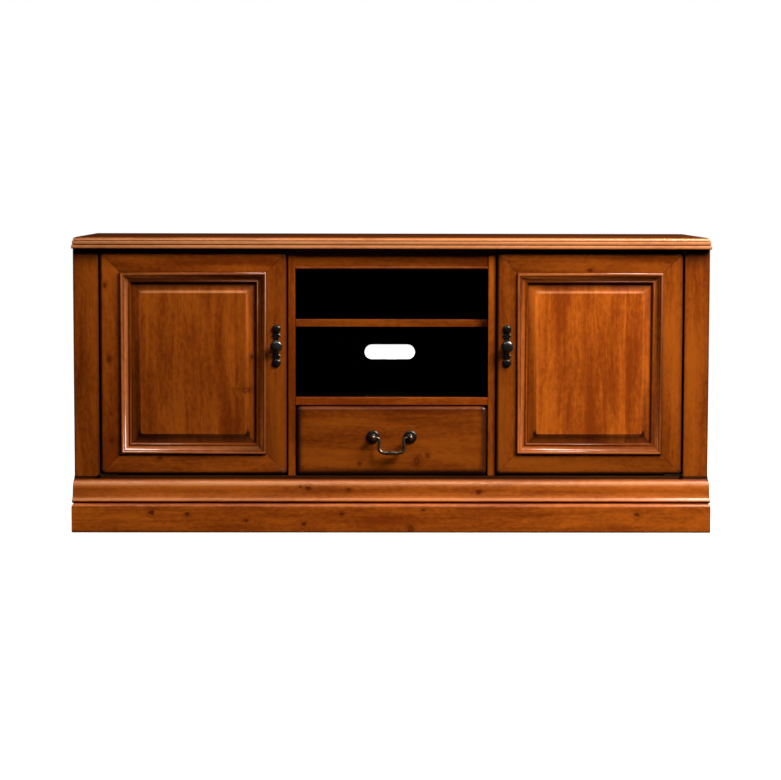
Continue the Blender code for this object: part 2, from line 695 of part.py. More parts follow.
def make_door(side, word):
    axis = add_axis(f"{word}_door_axis", (side * PIVOT_X, PIVOT_Y, 0))
    low_x, high_x = sorted((side * DOOR_HINGE_EDGE, side * DOOR_LOCK_EDGE))
    mitre_gap = SEAT / math.sqrt(2)
    across = DOOR_WIDTH - 2 * mitre_gap
    tall = DOOR_TALL - 2 * mitre_gap
    left_word, right_word = ("hinge", "lock") if side < 0 else ("lock", "hinge")
    members = (
        ("bottom_rail", (low_x + mitre_gap, FACE_Y, DOOR_LOW), (X, Z, Y), across),
        ("top_rail", (low_x + mitre_gap, FACE_Y, DOOR_HIGH), (X, -Z, Y), across),
        (f"{left_word}_stile", (low_x, FACE_Y, DOOR_LOW + mitre_gap), (Z, X, Y), tall),
        (f"{right_word}_stile", (high_x, FACE_Y, DOOR_LOW + mitre_gap), (Z, -X, Y), tall),
    )
    for member, start, directions, length in members:
        strip(f"{word}_door_{member}", frame_profile(), start, directions, length, (-1, -1),
              STAINED_PINE, axis, corner=DOOR_CORNER_RADIUS)
    middle = Vector(((low_x + high_x) / 2, FACE_Y, (DOOR_LOW + DOOR_HIGH) / 2))
    make_raised_panel(f"{word}_door_panel", middle, axis)
    ring(f"{word}_panel_moulding", panel_moulding_profile(), DOOR_WIDTH - 2 * FRAME_SHOW,
         DOOR_TALL - 2 * FRAME_SHOW, middle, STAINED_PINE, axis)
    knob_at = Vector((side * (DOOR_LOCK_EDGE + FRAME_SHOW / 2), FACE_Y - SEAT, KNOB_HEIGHT))
    make_knob_plate(f"{word}_knob_plate", knob_at, axis)
    make_knob(f"{word}_knob", knob_at, axis)
    for level in ("bottom", "top"):
        make_hinge(side, word, level, axis)


def make_raised_panel(name, middle, axis):
    """A slab whose edge sits in the frame's groove, with a bevel and a shoulder round a flat field."""
    edge = FRAME_WIDTH - PANEL_GROOVE_DEPTH + PANEL_EDGE_ROOM
    slab = PANEL_GROOVE_WIDTH - 2 * SEAT
    size = Vector((DOOR_WIDTH - 2 * edge, slab, DOOR_TALL - 2 * edge))
    bm = bmesh.new()
    bmesh.ops.create_cube(bm, size=1.0)
    bmesh.ops.scale(bm, vec=size, verts=bm.verts)
    field = min(bm.faces, key=lambda face: face.calc_center_median().y)
    border = FRAME_SHOW + MOULDING_WIDTH + SEAT - edge
    steps = [(border, 0.0), (PANEL_BEVEL_WIDTH, PANEL_BEVEL_RISE)]
    steps += [(PANEL_SHOULDER_WIDTH, PANEL_SHOULDER_RISE), (PANEL_EASE_WIDTH, PANEL_EASE_RISE)]
    for inward, rise in steps:
        bmesh.ops.inset_region(bm, faces=[field], thickness=inward, depth=rise, use_even_offset=True)
    centre = middle + Y * (PANEL_GROOVE_FRONT + PANEL_GROOVE_WIDTH / 2)
    panel = add_part(name, mesh_from(name, bm), centre, STAINED_PINE, axis)
    smooth(panel)


def make_knob_plate(name, seat, axis):
    """A long plate: a disc behind the knob, and at each end a neck, a pair of lobes and a round finial."""
    disc = PLATE_DISC_RADIUS
    finial = PLATE_FINIAL_RADIUS
    finial_at = PLATE_LENGTH / 2 - finial
    quarter = arc((0, 0), (disc, disc), 0, 50, 2)
    quarter += [(PLATE_NECK_HALF, (disc + PLATE_LOBE_AT) / 2), (PLATE_LOBE_HALF, PLATE_LOBE_AT)]
    quarter += [(PLATE_NECK_HALF, (PLATE_LOBE_AT + finial_at - finial / 2) / 2)]
    quarter += arc((0, finial_at), (finial, finial), -30, 60, 3)
    right = [(across, -up) for across, up in quarter[:0:-1]] + quarter
    left = [(-across, up) for across, up in right[::-1]]
    tip = PLATE_LENGTH / 2
    outline = [(0.0, -tip)] + right + [(0.0, tip)] + left
    plate = add_part(name, flat_curve(name, [outline], PLATE_THICKNESS, True), seat - Y * PLATE_THICKNESS / 2,
                     DARK_BRONZE, axis)
    plate.rotation_euler = (math.pi / 2, 0, 0)


def make_knob(name, seat, axis):
    """A turned knob with a domed face, a rounded back, and a stem that stands on the plate."""
    foot = PLATE_THICKNESS + SEAT
    widest = (0.0, KNOB_PROJECTION - SEAT - KNOB_DOME_RISE)
    profile = arc(widest, (KNOB_RADIUS, KNOB_DOME_RISE), 90, 0, 2 * ARC_STEPS)
    profile += arc(widest, (KNOB_RADIUS, KNOB_BACK_RISE), 0, -60)[1:]
    profile += [(KNOB_STEM_RADIUS, foot + KNOB_STEM_RISE), (KNOB_STEM_RADIUS, foot + 2 * KNOB_FOOT_RISE)]
    profile += [(KNOB_FOOT_RADIUS, foot + KNOB_FOOT_RISE), (KNOB_FOOT_RADIUS, foot), (0.0, foot)]
    turned(name, profile, seat, DARK_BRONZE, axis)


def leaf_outline(side):
    """A hinge leaf round its pivot: an eye in front, and a plate that lies along the door's edge."""
    edge = -LEAF_STILE_ROOM
    meets = math.degrees(math.acos(edge / EYE_RADIUS))
    outline = arc((0, 0), (EYE_RADIUS, EYE_RADIUS), meets, 360, 2 * ARC_STEPS)
    front = PIVOT_IN_FRONT + LEAF_INSET
    outline += [(EYE_RADIUS, front), (LEAF_LENGTH, front), (LEAF_LENGTH, LEAF_BACK), (edge, LEAF_BACK)]
    return [(-side * across, back) for across, back in outline]


def make_hinge(side, word, level, axis):
    """The case leaf carries the pin; the door leaf's eye turns on it, between the case leaf and the door."""
    if level == "bottom":
        sign, case_face, thickness = 1, BASE_TOP, LEAF_THICKNESS
    else:
        sign, case_face, thickness = -1, CASE_TOP, TOP_LEAF_THICKNESS
    case_middle = case_face + sign * (SEAT + thickness / 2)
    door_middle = case_middle + sign * (SEAT + thickness)
    pivot = Vector((side * PIVOT_X, PIVOT_Y, 0))
    outline = leaf_outline(side)

    case_name = f"{word}_{level}_hinge_case_leaf"
    case_curve = flat_curve(case_name, [outline], thickness)
    case_leaf = curve_to_mesh(add_part(case_name, case_curve, pivot + Z * case_middle, HINGE_BRASS))
    pin_length = 2 * thickness
    pin_name = f"{word}_{level}_hinge_pin"
    pin_place = pivot + Z * (case_middle + sign * pin_length / 2)
    boolean(case_leaf, add_cutter(pin_name, cylinder(pin_name, PIN_RADIUS, pin_length), pin_place), "UNION")

    door_name = f"{word}_{level}_hinge_door_leaf"
    hole = PIN_RADIUS + PIN_CLEARANCE
    eye = arc((0, 0), (hole, hole), 0, 360, PIN_SIDES)[:-1]
    door_curve = flat_curve(door_name, [outline, eye], thickness)
    add_part(door_name, door_curve, pivot + Z * door_middle, HINGE_BRASS, axis)


def make_drawer():
    axis = add_axis("drawer_slide", (0, FACE_Y, DRAWER_LOW))
    front = board("drawer_front", (-DRAWER_HALF, FACE_Y, DRAWER_LOW),
                  (DRAWER_HALF, FACE_Y + DRAWER_FRONT_THICKNESS, DRAWER_HIGH), STAINED_PINE, axis)
    round_front(front, DRAWER_CORNER_RADIUS, DRAWER_EDGE_ROUND)
    runner_low = RUNNER_RAISE - RUNNER_CLEARANCE
    runner_high = RUNNER_RAISE + RUNNER_HEIGHT + RUNNER_CLEARANCE
    groove = RUNNER_BITE + RUNNER_CLEARANCE
    bottom_low = DRAWER_BOTTOM_RAISE - SEAT
    bottom_high = DRAWER_BOTTOM_RAISE + DRAWER_BOTTOM_THICKNESS + SEAT
    bottom_floor = DRAWER_WALL - DRAWER_BOTTOM_GROOVE
    wall = [(0.0, 0.0), (0.0, runner_low), (groove, runner_low), (groove, runner_high), (0.0, runner_high)]
    wall += [(0.0, DRAWER_BOX_HEIGHT), (DRAWER_WALL, DRAWER_BOX_HEIGHT), (DRAWER_WALL, bottom_high)]
    wall += [(bottom_floor, bottom_high), (bottom_floor, bottom_low), (DRAWER_WALL, bottom_low)]
    wall += [(DRAWER_WALL, 0.0)]
    runner_depth = (DRAWER_BOX_FRONT, DRAWER_BOX_REAR - RUNNER_REAR_SHORT)
    runner_foot = DRAWER_BOX_LOW + RUNNER_RAISE
    for side, word in ((-1, "left"), (1, "right")):
        wall_start = (side * DRAWER_BOX_OUTER, DRAWER_BOX_FRONT, DRAWER_BOX_LOW)
        strip(f"drawer_{word}_side", wall, wall_start, (Y, X * -side, Z), DRAWER_BOX_LENGTH, (0, 0),
              DRAWER_PINE, axis)
        mirrored_board(f"{word}_drawer_runner", side, DRAWER_BOX_OUTER - RUNNER_BITE, BAY_HALF - SEAT,
                       runner_depth, (runner_foot, runner_foot + RUNNER_HEIGHT), DRAWER_PINE)
    floor_low = DRAWER_BOX_LOW + DRAWER_BOTTOM_RAISE
    floor_high = floor_low + DRAWER_BOTTOM_THICKNESS
    floor_half = DRAWER_BOX_INNER + DRAWER_BOTTOM_GROOVE - SEAT
    board("drawer_bottom", (-floor_half, DRAWER_BOX_FRONT, floor_low),
          (floor_half, DRAWER_BOX_REAR, floor_high), DRAWER_PINE, axis)
    back_half = DRAWER_BOX_INNER - SEAT
    board("drawer_back", (-back_half, DRAWER_BOX_REAR - DRAWER_BACK_THICKNESS, floor_high + SEAT),
          (back_half, DRAWER_BOX_REAR, DRAWER_BOX_LOW + DRAWER_BOX_HEIGHT), DRAWER_PINE, axis)
    make_pull(axis)


def round_front(obj, corner, edge):
    """Round the four corners of a board seen from the front, then the edges that border its front face."""
    bm = bmesh.new()
    bm.from_mesh(obj.data)
    level = [e for e in bm.edges if abs(e.verts[1].co.y - e.verts[0].co.y) > WELD]
    bmesh.ops.bevel(bm, geom=level, offset=corner, segments=2 * CORNER_STEPS, profile=ROUND_BEVEL,
                    affect="EDGES")
    front = min(bm.faces, key=lambda face: face.calc_center_median().y)
    bmesh.ops.bevel(bm, geom=list(front.edges), offset=edge, segments=ARC_STEPS, profile=ROUND_BEVEL,
                    affect="EDGES")
    bmesh.ops.recalc_face_normals(bm, faces=bm.faces)
    bm.to_mesh(obj.data)
    bm.free()
    smooth(obj)


def make_pull(drawer):
    """Two rosette posts, each ending in a ball that is bored on its inner side for the bail."""
    half = PULL_SPACING / 2
    ball_at = PULL_STAND_OFF - SEAT
    rim = ROSETTE_RADIUS - ROSETTE_CROWN_RADIUS
    profile = arc((0.0, ball_at), (POST_BALL_RADIUS, POST_BALL_RADIUS), 90, -50, 2 * ARC_STEPS)
    profile += [(POST_STEM_RADIUS, ball_at - POST_BALL_RADIUS - POST_NECK), (POST_STEM_RADIUS, ROSETTE_RISE)]
    profile += arc((ROSETTE_CROWN_RADIUS, 0.0), (rim, ROSETTE_RIM_RISE), 90, 0)
    profile += [(0.0, 0.0)]
    bore = BAIL_END_RADIUS + SEAT
    bore_length = POST_BALL_RADIUS + BAIL_BITE
    bore_middle = half + BAIL_BITE - POST_BALL_RADIUS - bore_length / 2 + SEAT
    for side, word in ((-1, "left"), (1, "right")):
        post = turned(f"{word}_pull_post", profile, Vector((side * half, FACE_Y - SEAT, PULL_HEIGHT)),
                      DARK_BRONZE, drawer)
        cutter_name = f"{word}_pull_bore_cutter"
        cutter = add_cutter(cutter_name, cylinder(cutter_name, bore, bore_length),
                            (side * bore_middle, PULL_Y, PULL_HEIGHT))
        cutter.rotation_euler = (0, math.pi / 2, 0)
        boolean(post, cutter, "DIFFERENCE")
    make_bail(drawer)


def make_bail(drawer):
    """A bail whose straight pins enter the posts' inner sides; it turns down and swells to its middle."""
    axis = add_axis("bail_axis", (0, PULL_Y, PULL_HEIGHT), drawer)
    mouth = PULL_SPACING / 2 - POST_BALL_RADIUS
    end = mouth + BAIL_BITE
    shoulder = PULL_SPACING / 2 - BAIL_SHOULDER
    turn = BAIL_CORNER
    corner = arc((BAIL_HALF_WIDTH - turn, turn - BAIL_DROP), (turn, turn), 0, -90, EDGE_STEPS)
    elbow = (BAIL_HALF_WIDTH - BAIL_ELBOW_INSET, -BAIL_ELBOW_DROP)
    pin = [(end, 0.0), (mouth, 0.0)]
    arm = [(shoulder, 0.0), elbow] + corner
    half_route = pin + arm
    swell = (BAIL_GRIP_RADIUS - BAIL_END_RADIUS) / (len(arm) - 1)
    radii = [BAIL_END_RADIUS] * len(pin)
    radii += [BAIL_END_RADIUS + swell * step for step in range(len(arm))]
    route = half_route + [(0.0, -BAIL_DROP)] + [(-across, up) for across, up in half_route[::-1]]
    curve = bpy.data.curves.new("drawer_bail", "CURVE")
    curve.dimensions = "3D"
    curve.bevel_depth = 1.0
    curve.bevel_resolution = 2
    curve.use_fill_caps = True
    curve.render_resolution_u = 0
    spline = curve.splines.new("BEZIER")
    spline.resolution_u = BAIL_STEPS
    spline.bezier_points.add(len(route) - 1)
    thickness = radii + [BAIL_MIDDLE_RADIUS] + radii[::-1]
    for point, (across, up), radius in zip(spline.bezier_points, route, thickness):
        point.co = (across, 0, up)
        point.radius = radius
        point.handle_left_type = "AUTO"
        point.handle_right_type = "AUTO"
    add_part("drawer_bail", curve, (0, PULL_Y, PULL_HEIGHT), DARK_BRONZE, axis)


make_top()
make_case()
make_base()
for door_side, door_word in ((-1, "left"), (1, "right")):
    make_door(door_side, door_word)
make_drawer()
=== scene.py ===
"""Looks, light and camera for the stained pine media console."""
import math

import bpy
from mathutils import Matrix, Vector


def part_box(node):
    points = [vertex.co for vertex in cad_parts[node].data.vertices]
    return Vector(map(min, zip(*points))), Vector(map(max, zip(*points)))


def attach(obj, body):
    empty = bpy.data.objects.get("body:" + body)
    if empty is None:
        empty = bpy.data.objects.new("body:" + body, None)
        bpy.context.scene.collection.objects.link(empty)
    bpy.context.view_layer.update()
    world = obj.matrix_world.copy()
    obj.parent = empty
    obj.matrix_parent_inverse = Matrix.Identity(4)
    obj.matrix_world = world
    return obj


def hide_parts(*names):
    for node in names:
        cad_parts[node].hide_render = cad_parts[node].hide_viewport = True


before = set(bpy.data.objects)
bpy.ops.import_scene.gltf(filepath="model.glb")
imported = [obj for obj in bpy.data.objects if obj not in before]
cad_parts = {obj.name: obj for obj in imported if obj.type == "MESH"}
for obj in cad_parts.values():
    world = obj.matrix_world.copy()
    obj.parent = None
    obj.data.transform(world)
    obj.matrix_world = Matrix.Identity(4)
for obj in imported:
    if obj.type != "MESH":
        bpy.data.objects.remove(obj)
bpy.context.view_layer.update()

SIDES = ((-1, "left"), (1, "right"))
FRONTWARDS = -1
BACKWARDS = 1

# Workshop settings, in metres and radians
MERGE = 0.00002
ON_PLANE = 5 * MERGE
MITRE_GAP = 0.00031
SMOOTH_ANGLE = math.radians(38)
FLAT_ANGLE = math.radians(2)
FLAT_FACE_WEIGHT = 100
QUARTER_TURN = math.pi / 2

# Places on the console that the finishes follow, in metres
DOOR_MIDDLE = (0.4665, 0.0, 0.39785)
MOULDING_HALF = (0.1715, 0.0, 0.21395)
DRAWER_MIDDLE = (0.0, 0.0, 0.2155)
DRAWER_HALF = (0.225, 0.0, 0.081)
FACE_Y = -0.210
BAY_WALL_MIDDLE = 0.2355
RAIL_FRONT = -0.203
DECK_FRONT = -0.206
SHELF_FRONT = -0.186

# Stain, glazing and lacquer, with the pale of rubbing and painted highlight and the dark of painted
# shade
STAIN_LIGHT = (0.560, 0.118, 0.0080, 1)
STAIN_DARK = (0.235, 0.036, 0.0025, 1)
INNER_LIGHT = (0.250, 0.075, 0.014, 1)
INNER_DARK = (0.090, 0.022, 0.004, 1)
BOX_LIGHT = (0.62, 0.34, 0.14, 1)
BOX_DARK = (0.38, 0.17, 0.055, 1)
# Pale of rubbed crests and of painted highlight
PALE_RUB_AND_HIGHLIGHT = (0.880, 0.335, 0.120, 1)
KNOT_BROWN = (0.110, 0.014, 0.0015, 1)
# Near black of dark glazing and of painted shade
GLAZE_AND_SHADE_BROWN = (0.012, 0.0034, 0.0015, 1)
# Painted shade deep inside the open bays
BAY_BLACK = (0.0025, 0.0012, 0.0009, 1)
LACQUER = 0.42
LACQUER_ROUGHNESS = 0.10
LACQUER_SPECULAR = 0.40
# How far glazing and painted shade take the lacquer off
DULLED_BY_GLAZE_AND_SHADE = 1.7
# How the pale of rubbing and painted highlight follows the figure's tone
RUB_AND_HIGHLIGHT_BY_TONE = 0.6
RUB_AND_HIGHLIGHT_LEAST = 0.5
KNOT_DEPTH = 0.84
SPECK_DEPTH = 0.30
FIBRE_ROUGHNESS = 0.08
STAIN_ROUGHNESS = 0.17
GLAZE_AND_SHADE_ROUGHNESS = 0.14
GRAIN_BUMP = (0.22, 0.0004)


def deselect():
    bpy.ops.object.select_all(action="DESELECT")


def take(piece):
    """Make one piece the selected and active one."""
    deselect()
    piece.select_set(True)
    bpy.context.view_layer.objects.active = piece


def open_mesh(piece):
    """Take a piece into edit mode with all of its mesh selected."""
    take(piece)
    bpy.ops.object.mode_set(mode="EDIT")
    bpy.ops.mesh.select_all(action="SELECT")


def close_mesh():
    bpy.ops.object.mode_set(mode="OBJECT")


def pick(piece, kind, wanted):
    """Take a piece into edit mode with only the wanted faces or vertices selected."""
    open_mesh(piece)
    bpy.ops.mesh.select_mode(type=kind)
    bpy.ops.mesh.select_all(action="DESELECT")
    close_mesh()
    for part in piece.data.polygons if kind == "FACE" else piece.data.vertices:
        part.select = wanted(part)
    bpy.ops.object.mode_set(mode="EDIT")


def settle(piece, body, slot, *nodes):
    """Let a finished piece ride on its body and stand for the nodes it replaces; its slot is not
    used.
    """
    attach(piece, body)
    if nodes:
        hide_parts(*nodes)


# Node helpers


def add_node(tree, kind, sockets=None, **settings):
    """Add a node, set it, and link or fill its sockets."""
    node = tree.nodes.new(kind)
    for name, value in settings.items():
        setattr(node, name, value)
    for socket, value in (sockets or {}).items():
        if isinstance(value, bpy.types.NodeSocket):
            tree.links.new(value, node.inputs[socket])
        else:
            node.inputs[socket].default_value = value
    return node


def wire(tree, node, sockets):
    """Link values to a node's named inputs."""
    for name, value in sockets.items():
        tree.links.new(value, node.inputs[name])


def math_node(tree, operation, first, second=0.0, clamp=False):
    node = add_node(tree, "ShaderNodeMath", {0: first, 1: second},
                    operation=operation, use_clamp=clamp)
    return node.outputs[0]


def times(tree, first, second, clamp=False):
    return math_node(tree, "MULTIPLY", first, second, clamp)


def plus(tree, first, second):
    return math_node(tree, "ADD", first, second)


def minus(tree, first, second, clamp=False):
    return math_node(tree, "SUBTRACT", first, second, clamp)


def line(tree, value, slope, start):
    """A straight line: a value times its slope, from a start."""
    return plus(tree, times(tree, value, slope), start)


def most(tree, value, *others):
    """The largest of some values."""
    for other in others:
        value = math_node(tree, "MAXIMUM", value, other)
    return value


def vector_node(tree, operation, *vectors):
    node = add_node(tree, "ShaderNodeVectorMath", dict(enumerate(vectors)), operation=operation)
    return node.outputs[0]


def scaled(tree, vector, factor):
    node = add_node(tree, "ShaderNodeVectorMath", {0: vector, "Scale": factor}, operation="SCALE")
    return node.outputs[0]


def split(tree, vector):
    """The X, Y and Z of a vector."""
    return add_node(tree, "ShaderNodeSeparateXYZ", {0: vector}).outputs


def joined(tree, sockets):
    return add_node(tree, "ShaderNodeCombineXYZ", sockets).outputs[0]


def spread(tree, value, low, high, to_low=0.0, to_high=1.0):
    """A smooth step of a value from one range to another."""
    sockets = {"Value": value, "From Min": low, "From Max": high,
               "To Min": to_low, "To Max": to_high}
    step = add_node(tree, "ShaderNodeMapRange", sockets, interpolation_type="SMOOTHSTEP")
    return step.outputs["Result"]


def ramp(tree, value, stops):
    """A grey ramp over a value, with rising stops of (value, amount)."""
    low, high = stops[0][0], stops[-1][0]
    share = math_node(tree, "DIVIDE", minus(tree, value, low), high - low)
    made = add_node(tree, "ShaderNodeValToRGB", {0: share})
    points = made.color_ramp.elements
    while len(points) < len(stops):
        points.new(0.5)
    for point, (at, amount) in zip(points, stops):
        point.position = (at - low) / (high - low)
        point.color = (amount, amount, amount, 1)
    return made.outputs["Color"]


def mix_colour(tree, factor, first, second):
    mix = add_node(tree, "ShaderNodeMix", {0: factor, 6: first, 7: second}, data_type="RGBA")
    return mix.outputs[2]


def stretched_noise(tree, vector, scale, detail=2.0, rough=0.5):
    """Noise whose cells are stretched by one scale for each axis."""
    noise = add_node(tree, "ShaderNodeTexNoise", {
        "Vector": vector_node(tree, "MULTIPLY", vector, scale), "Scale": 1.0,
        "Detail": detail, "Roughness": rough})
    return noise.outputs["Fac"]


def bump(tree, height, strength, distance):
    node = add_node(tree, "ShaderNodeBump", {
        "Height": height, "Strength": strength, "Distance": distance})
    return node.outputs["Normal"]


def object_place(tree):
    return add_node(tree, "ShaderNodeTexCoord").outputs["Object"]


def object_number(tree, name):
    """A number that each piece carries for its finish."""
    node = add_node(tree, "ShaderNodeAttribute", attribute_type="OBJECT", attribute_name=name)
    return node.outputs["Fac"]


def new_group(name, inputs, outputs):
    """An empty node group with named sockets; returns its tree, its inputs and its output node."""
    tree = bpy.data.node_groups.new(name, "ShaderNodeTree")
    for label, kind, value in inputs:
        socket = tree.interface.new_socket(name=label, in_out="INPUT", socket_type=kind)
        if value is not None:
            socket.default_value = value
    for label, kind in outputs:
        tree.interface.new_socket(name=label, in_out="OUTPUT", socket_type=kind)
    return tree, tree.nodes.new("NodeGroupInput").outputs, tree.nodes.new("NodeGroupOutput")


def place_group(tree, group, sockets):
    return add_node(tree, "ShaderNodeGroup", sockets, node_tree=group).outputs


def new_material(name):
    """A new material; returns it, its tree and its shader."""
    material = bpy.data.materials.new(name)
    material.use_nodes = True
    return material, material.node_tree, material.node_tree.nodes["Principled BSDF"]


FLOAT = "NodeSocketFloat"
VECTOR = "NodeSocketVector"
COLOUR = "NodeSocketColor"

# Figure of the pine. A scale is along the grain, across the face and into the board; a layer is
# its share in the tone, its scale, its detail and its roughness.
WIDE_BOARD = 9.0
PLANK_STEP = 1.37
BOARD_STEP = (7.31, 3.17, 5.53)
SWAY_SCALE = (2.6, 7.0, 7.0)
SWAY_REACH = 0.045
LOT_SHARE = 0.22
FIGURE_LAYERS = {
    "streaks": (1.05, (1.9, 40.0, 30.0), 3.0, 0.55),
    "rings": (0.40, (1.3, 170.0, 120.0), 2.0, 0.60),
    "fibre": (0.30, (16.0, 950.0, 950.0), 2.0, 0.60),
    "blotch": (1.90, (2.6, 13.0, 13.0), 3.0, 0.60),
    "mottle": (0.85, (64.0, 130.0, 130.0), 3.0, 0.60)}
TONE_RANGE = (1.81, 2.89)
SPECK_CELLS = (21.0, 30.0, 30.0)
SPECK_RANGE = (0.055, 0.020)

# A knot. Its steps are in radii from its middle.
ACROSS = (0.0, 1.0, 0.0)
LONG_KNOT = (0.7, 1.0, 0.0)
WIDE_KNOT = (1.0, 0.6, 0.0)
KNOT_RADIUS = 0.006
KNOT_WOBBLE_SCALE = (110.0, 190.0, 190.0)
KNOT_WOBBLE = 1.5
KNOT_WOBBLE_LEAST = 0.25
KNOT_PUSH = (3.4, 0.0, 0.0, 0.85)
KNOT_EYE = (1.30, 0.50)
KNOT_PALE = (0.75, 0.20)
KNOT_HALO = (2.8, 0.6, 0.0, 0.35)


def make_pine_figure():
    """Pine figure in a board's own space: X along the grain, Y across the face, Z into it."""
    tree, given, leaving = new_group(
        "pine_figure",
        (("Vector", VECTOR, None), ("Board", FLOAT, 0.0), ("Plank", FLOAT, WIDE_BOARD)),
        (("Tone", FLOAT), ("Fibre", FLOAT), ("Specks", FLOAT)))
    across = split(tree, given["Vector"])["Y"]
    plank = math_node(tree, "FLOOR", math_node(tree, "DIVIDE", across, given["Plank"]))
    number = plus(tree, times(tree, plank, PLANK_STEP), given["Board"])
    seed = joined(tree, {0: number, 1: number, 2: number})
    moved = vector_node(tree, "MULTIPLY_ADD", seed, BOARD_STEP, given["Vector"])
    sway = times(tree, stretched_noise(tree, moved, SWAY_SCALE), SWAY_REACH)
    bent = vector_node(tree, "ADD", moved, joined(tree, {1: sway, 2: sway}))
    lot = add_node(tree, "ShaderNodeTexWhiteNoise", {"W": number}, noise_dimensions="1D")
    tone = times(tree, lot.outputs["Value"], LOT_SHARE)
    layers = {}
    for name, (share, scale, detail, rough) in FIGURE_LAYERS.items():
        place = moved if name == "blotch" else bent
        layers[name] = stretched_noise(tree, place, scale, detail, rough)
        tone = plus(tree, tone, times(tree, layers[name], share))
    cells = vector_node(tree, "MULTIPLY", moved, SPECK_CELLS)
    specks = add_node(tree, "ShaderNodeTexVoronoi", {"Vector": cells, "Scale": 1.0})
    wire(tree, leaving, {
        "Tone": spread(tree, tone, *TONE_RANGE), "Fibre": layers["fibre"],
        "Specks": spread(tree, specks.outputs["Distance"], *SPECK_RANGE)})
    return tree


def make_knot():
    """A knot that pushes the grain aside, with a soft dark eye, paler inside where it is a ring."""
    tree, given, leaving = new_group(
        "pine_knot",
        (("Vector", VECTOR, None), ("Eyes", FLOAT, 0.0), ("Centre", VECTOR, None),
         ("Radius", FLOAT, KNOT_RADIUS), ("Ring", FLOAT, 0.0), ("Shape", VECTOR, None)),
        (("Vector", VECTOR), ("Eyes", FLOAT)))
    off = vector_node(tree, "SUBTRACT", given["Vector"], given["Centre"])
    flat = vector_node(tree, "MULTIPLY", off, given["Shape"])
    length = add_node(tree, "ShaderNodeVectorMath", {0: flat}, operation="LENGTH")
    wobble = stretched_noise(tree, given["Vector"], KNOT_WOBBLE_SCALE)
    wobble = line(tree, wobble, KNOT_WOBBLE, KNOT_WOBBLE_LEAST)
    reach = times(tree, length.outputs["Value"], wobble)
    reach = math_node(tree, "DIVIDE", reach, given["Radius"])
    aside = vector_node(tree, "MULTIPLY", off, ACROSS)
    aside = scaled(tree, aside, spread(tree, reach, *KNOT_PUSH))
    eye = most(tree, spread(tree, reach, *KNOT_EYE), spread(tree, reach, *KNOT_HALO))
    eye = minus(tree, eye, times(tree, spread(tree, reach, *KNOT_PALE), given["Ring"]))
    wire(tree, leaving, {
        "Vector": vector_node(tree, "SUBTRACT", given["Vector"], aside),
        "Eyes": most(tree, eye, given["Eyes"])})
    return tree


def make_framed_bands():
    """How far a point of the front lies outside a rectangle, or one of two mirrored ones."""
    tree, given, leaving = new_group(
        "framed_bands",
        (("Vector", VECTOR, None), ("Middle", VECTOR, None), ("Half", VECTOR, None)),
        (("Distance", FLOAT), ("Corner", FLOAT), ("Level", FLOAT), ("Right", FLOAT),
         ("Above", FLOAT)))
    folded = vector_node(tree, "ABSOLUTE", given["Vector"])
    off = vector_node(tree, "SUBTRACT", folded, given["Middle"])
    signs = vector_node(tree, "SIGN", given["Vector"])
    turned = split(tree, vector_node(tree, "MULTIPLY", off, signs))
    off = vector_node(tree, "ABSOLUTE", off)
    past = split(tree, vector_node(tree, "SUBTRACT", off, given["Half"]))
    upright = math_node(tree, "GREATER_THAN", past["X"], past["Z"])
    level = math_node(tree, "GREATER_THAN", past["Z"], past["X"])
    wire(tree, leaving, {
        "Distance": most(tree, past["X"], past["Z"]),
        "Corner": math_node(tree, "MINIMUM", past["X"], past["Z"]),
        "Level": level,
        "Right": times(tree, upright, math_node(tree, "GREATER_THAN", turned["X"])),
        "Above": times(tree, level, math_node(tree, "GREATER_THAN", turned["Z"]))})
    return tree


def make_stain():
    """Stain over the figure: paler on crests for rubbing and painted highlight, with knots, specks,
    and dark glazing and painted shade in quirks and hollows.
    """
    tree, given, leaving = new_group(
        "wiped_stain",
        (("Tone", FLOAT, 0.5), ("Fibre", FLOAT, 0.5), ("Specks", FLOAT, 0.0), ("Eyes", FLOAT, 0.0),
         ("GlazeAndShade", FLOAT, 0.0), ("RubAndHighlight", FLOAT, 0.0), ("Shade", FLOAT, 1.0),
         ("Light", COLOUR, STAIN_LIGHT), ("Dark", COLOUR, STAIN_DARK)),
        (("Color", COLOUR), ("Roughness", FLOAT), ("Height", FLOAT)))
    colour = mix_colour(tree, given["Tone"], given["Dark"], given["Light"])
    # Each board's shade: partly the stain it took, partly painted light and shade
    colour = scaled(tree, colour, given["Shade"])
    # Paler crests: rubbed wood and painted highlight, following the tone
    rub_and_highlight_share = line(tree, given["Tone"], RUB_AND_HIGHLIGHT_BY_TONE, RUB_AND_HIGHLIGHT_LEAST)
    colour = mix_colour(tree, times(tree, rub_and_highlight_share, given["RubAndHighlight"], True), colour, PALE_RUB_AND_HIGHLIGHT)
    colour = mix_colour(tree, times(tree, given["Eyes"], KNOT_DEPTH, True), colour, KNOT_BROWN)
    # Specks, dark glazing and painted shade darken the colour
    specks = times(tree, given["Specks"], SPECK_DEPTH)
    dark = math_node(tree, "MAXIMUM", specks, given["GlazeAndShade"], True)
    rough = line(tree, given["Fibre"], FIBRE_ROUGHNESS, STAIN_ROUGHNESS)
    wire(tree, leaving, {
        "Color": mix_colour(tree, dark, colour, GLAZE_AND_SHADE_BROWN),
        "Roughness": plus(tree, rough, times(tree, dark, GLAZE_AND_SHADE_ROUGHNESS)),
        "Height": minus(tree, given["Fibre"], given["Specks"])})
    return tree


PINE_FIGURE = make_pine_figure()
PINE_KNOT = make_knot()
FRAMED_BANDS = make_framed_bands()
WIPED_STAIN = make_stain()

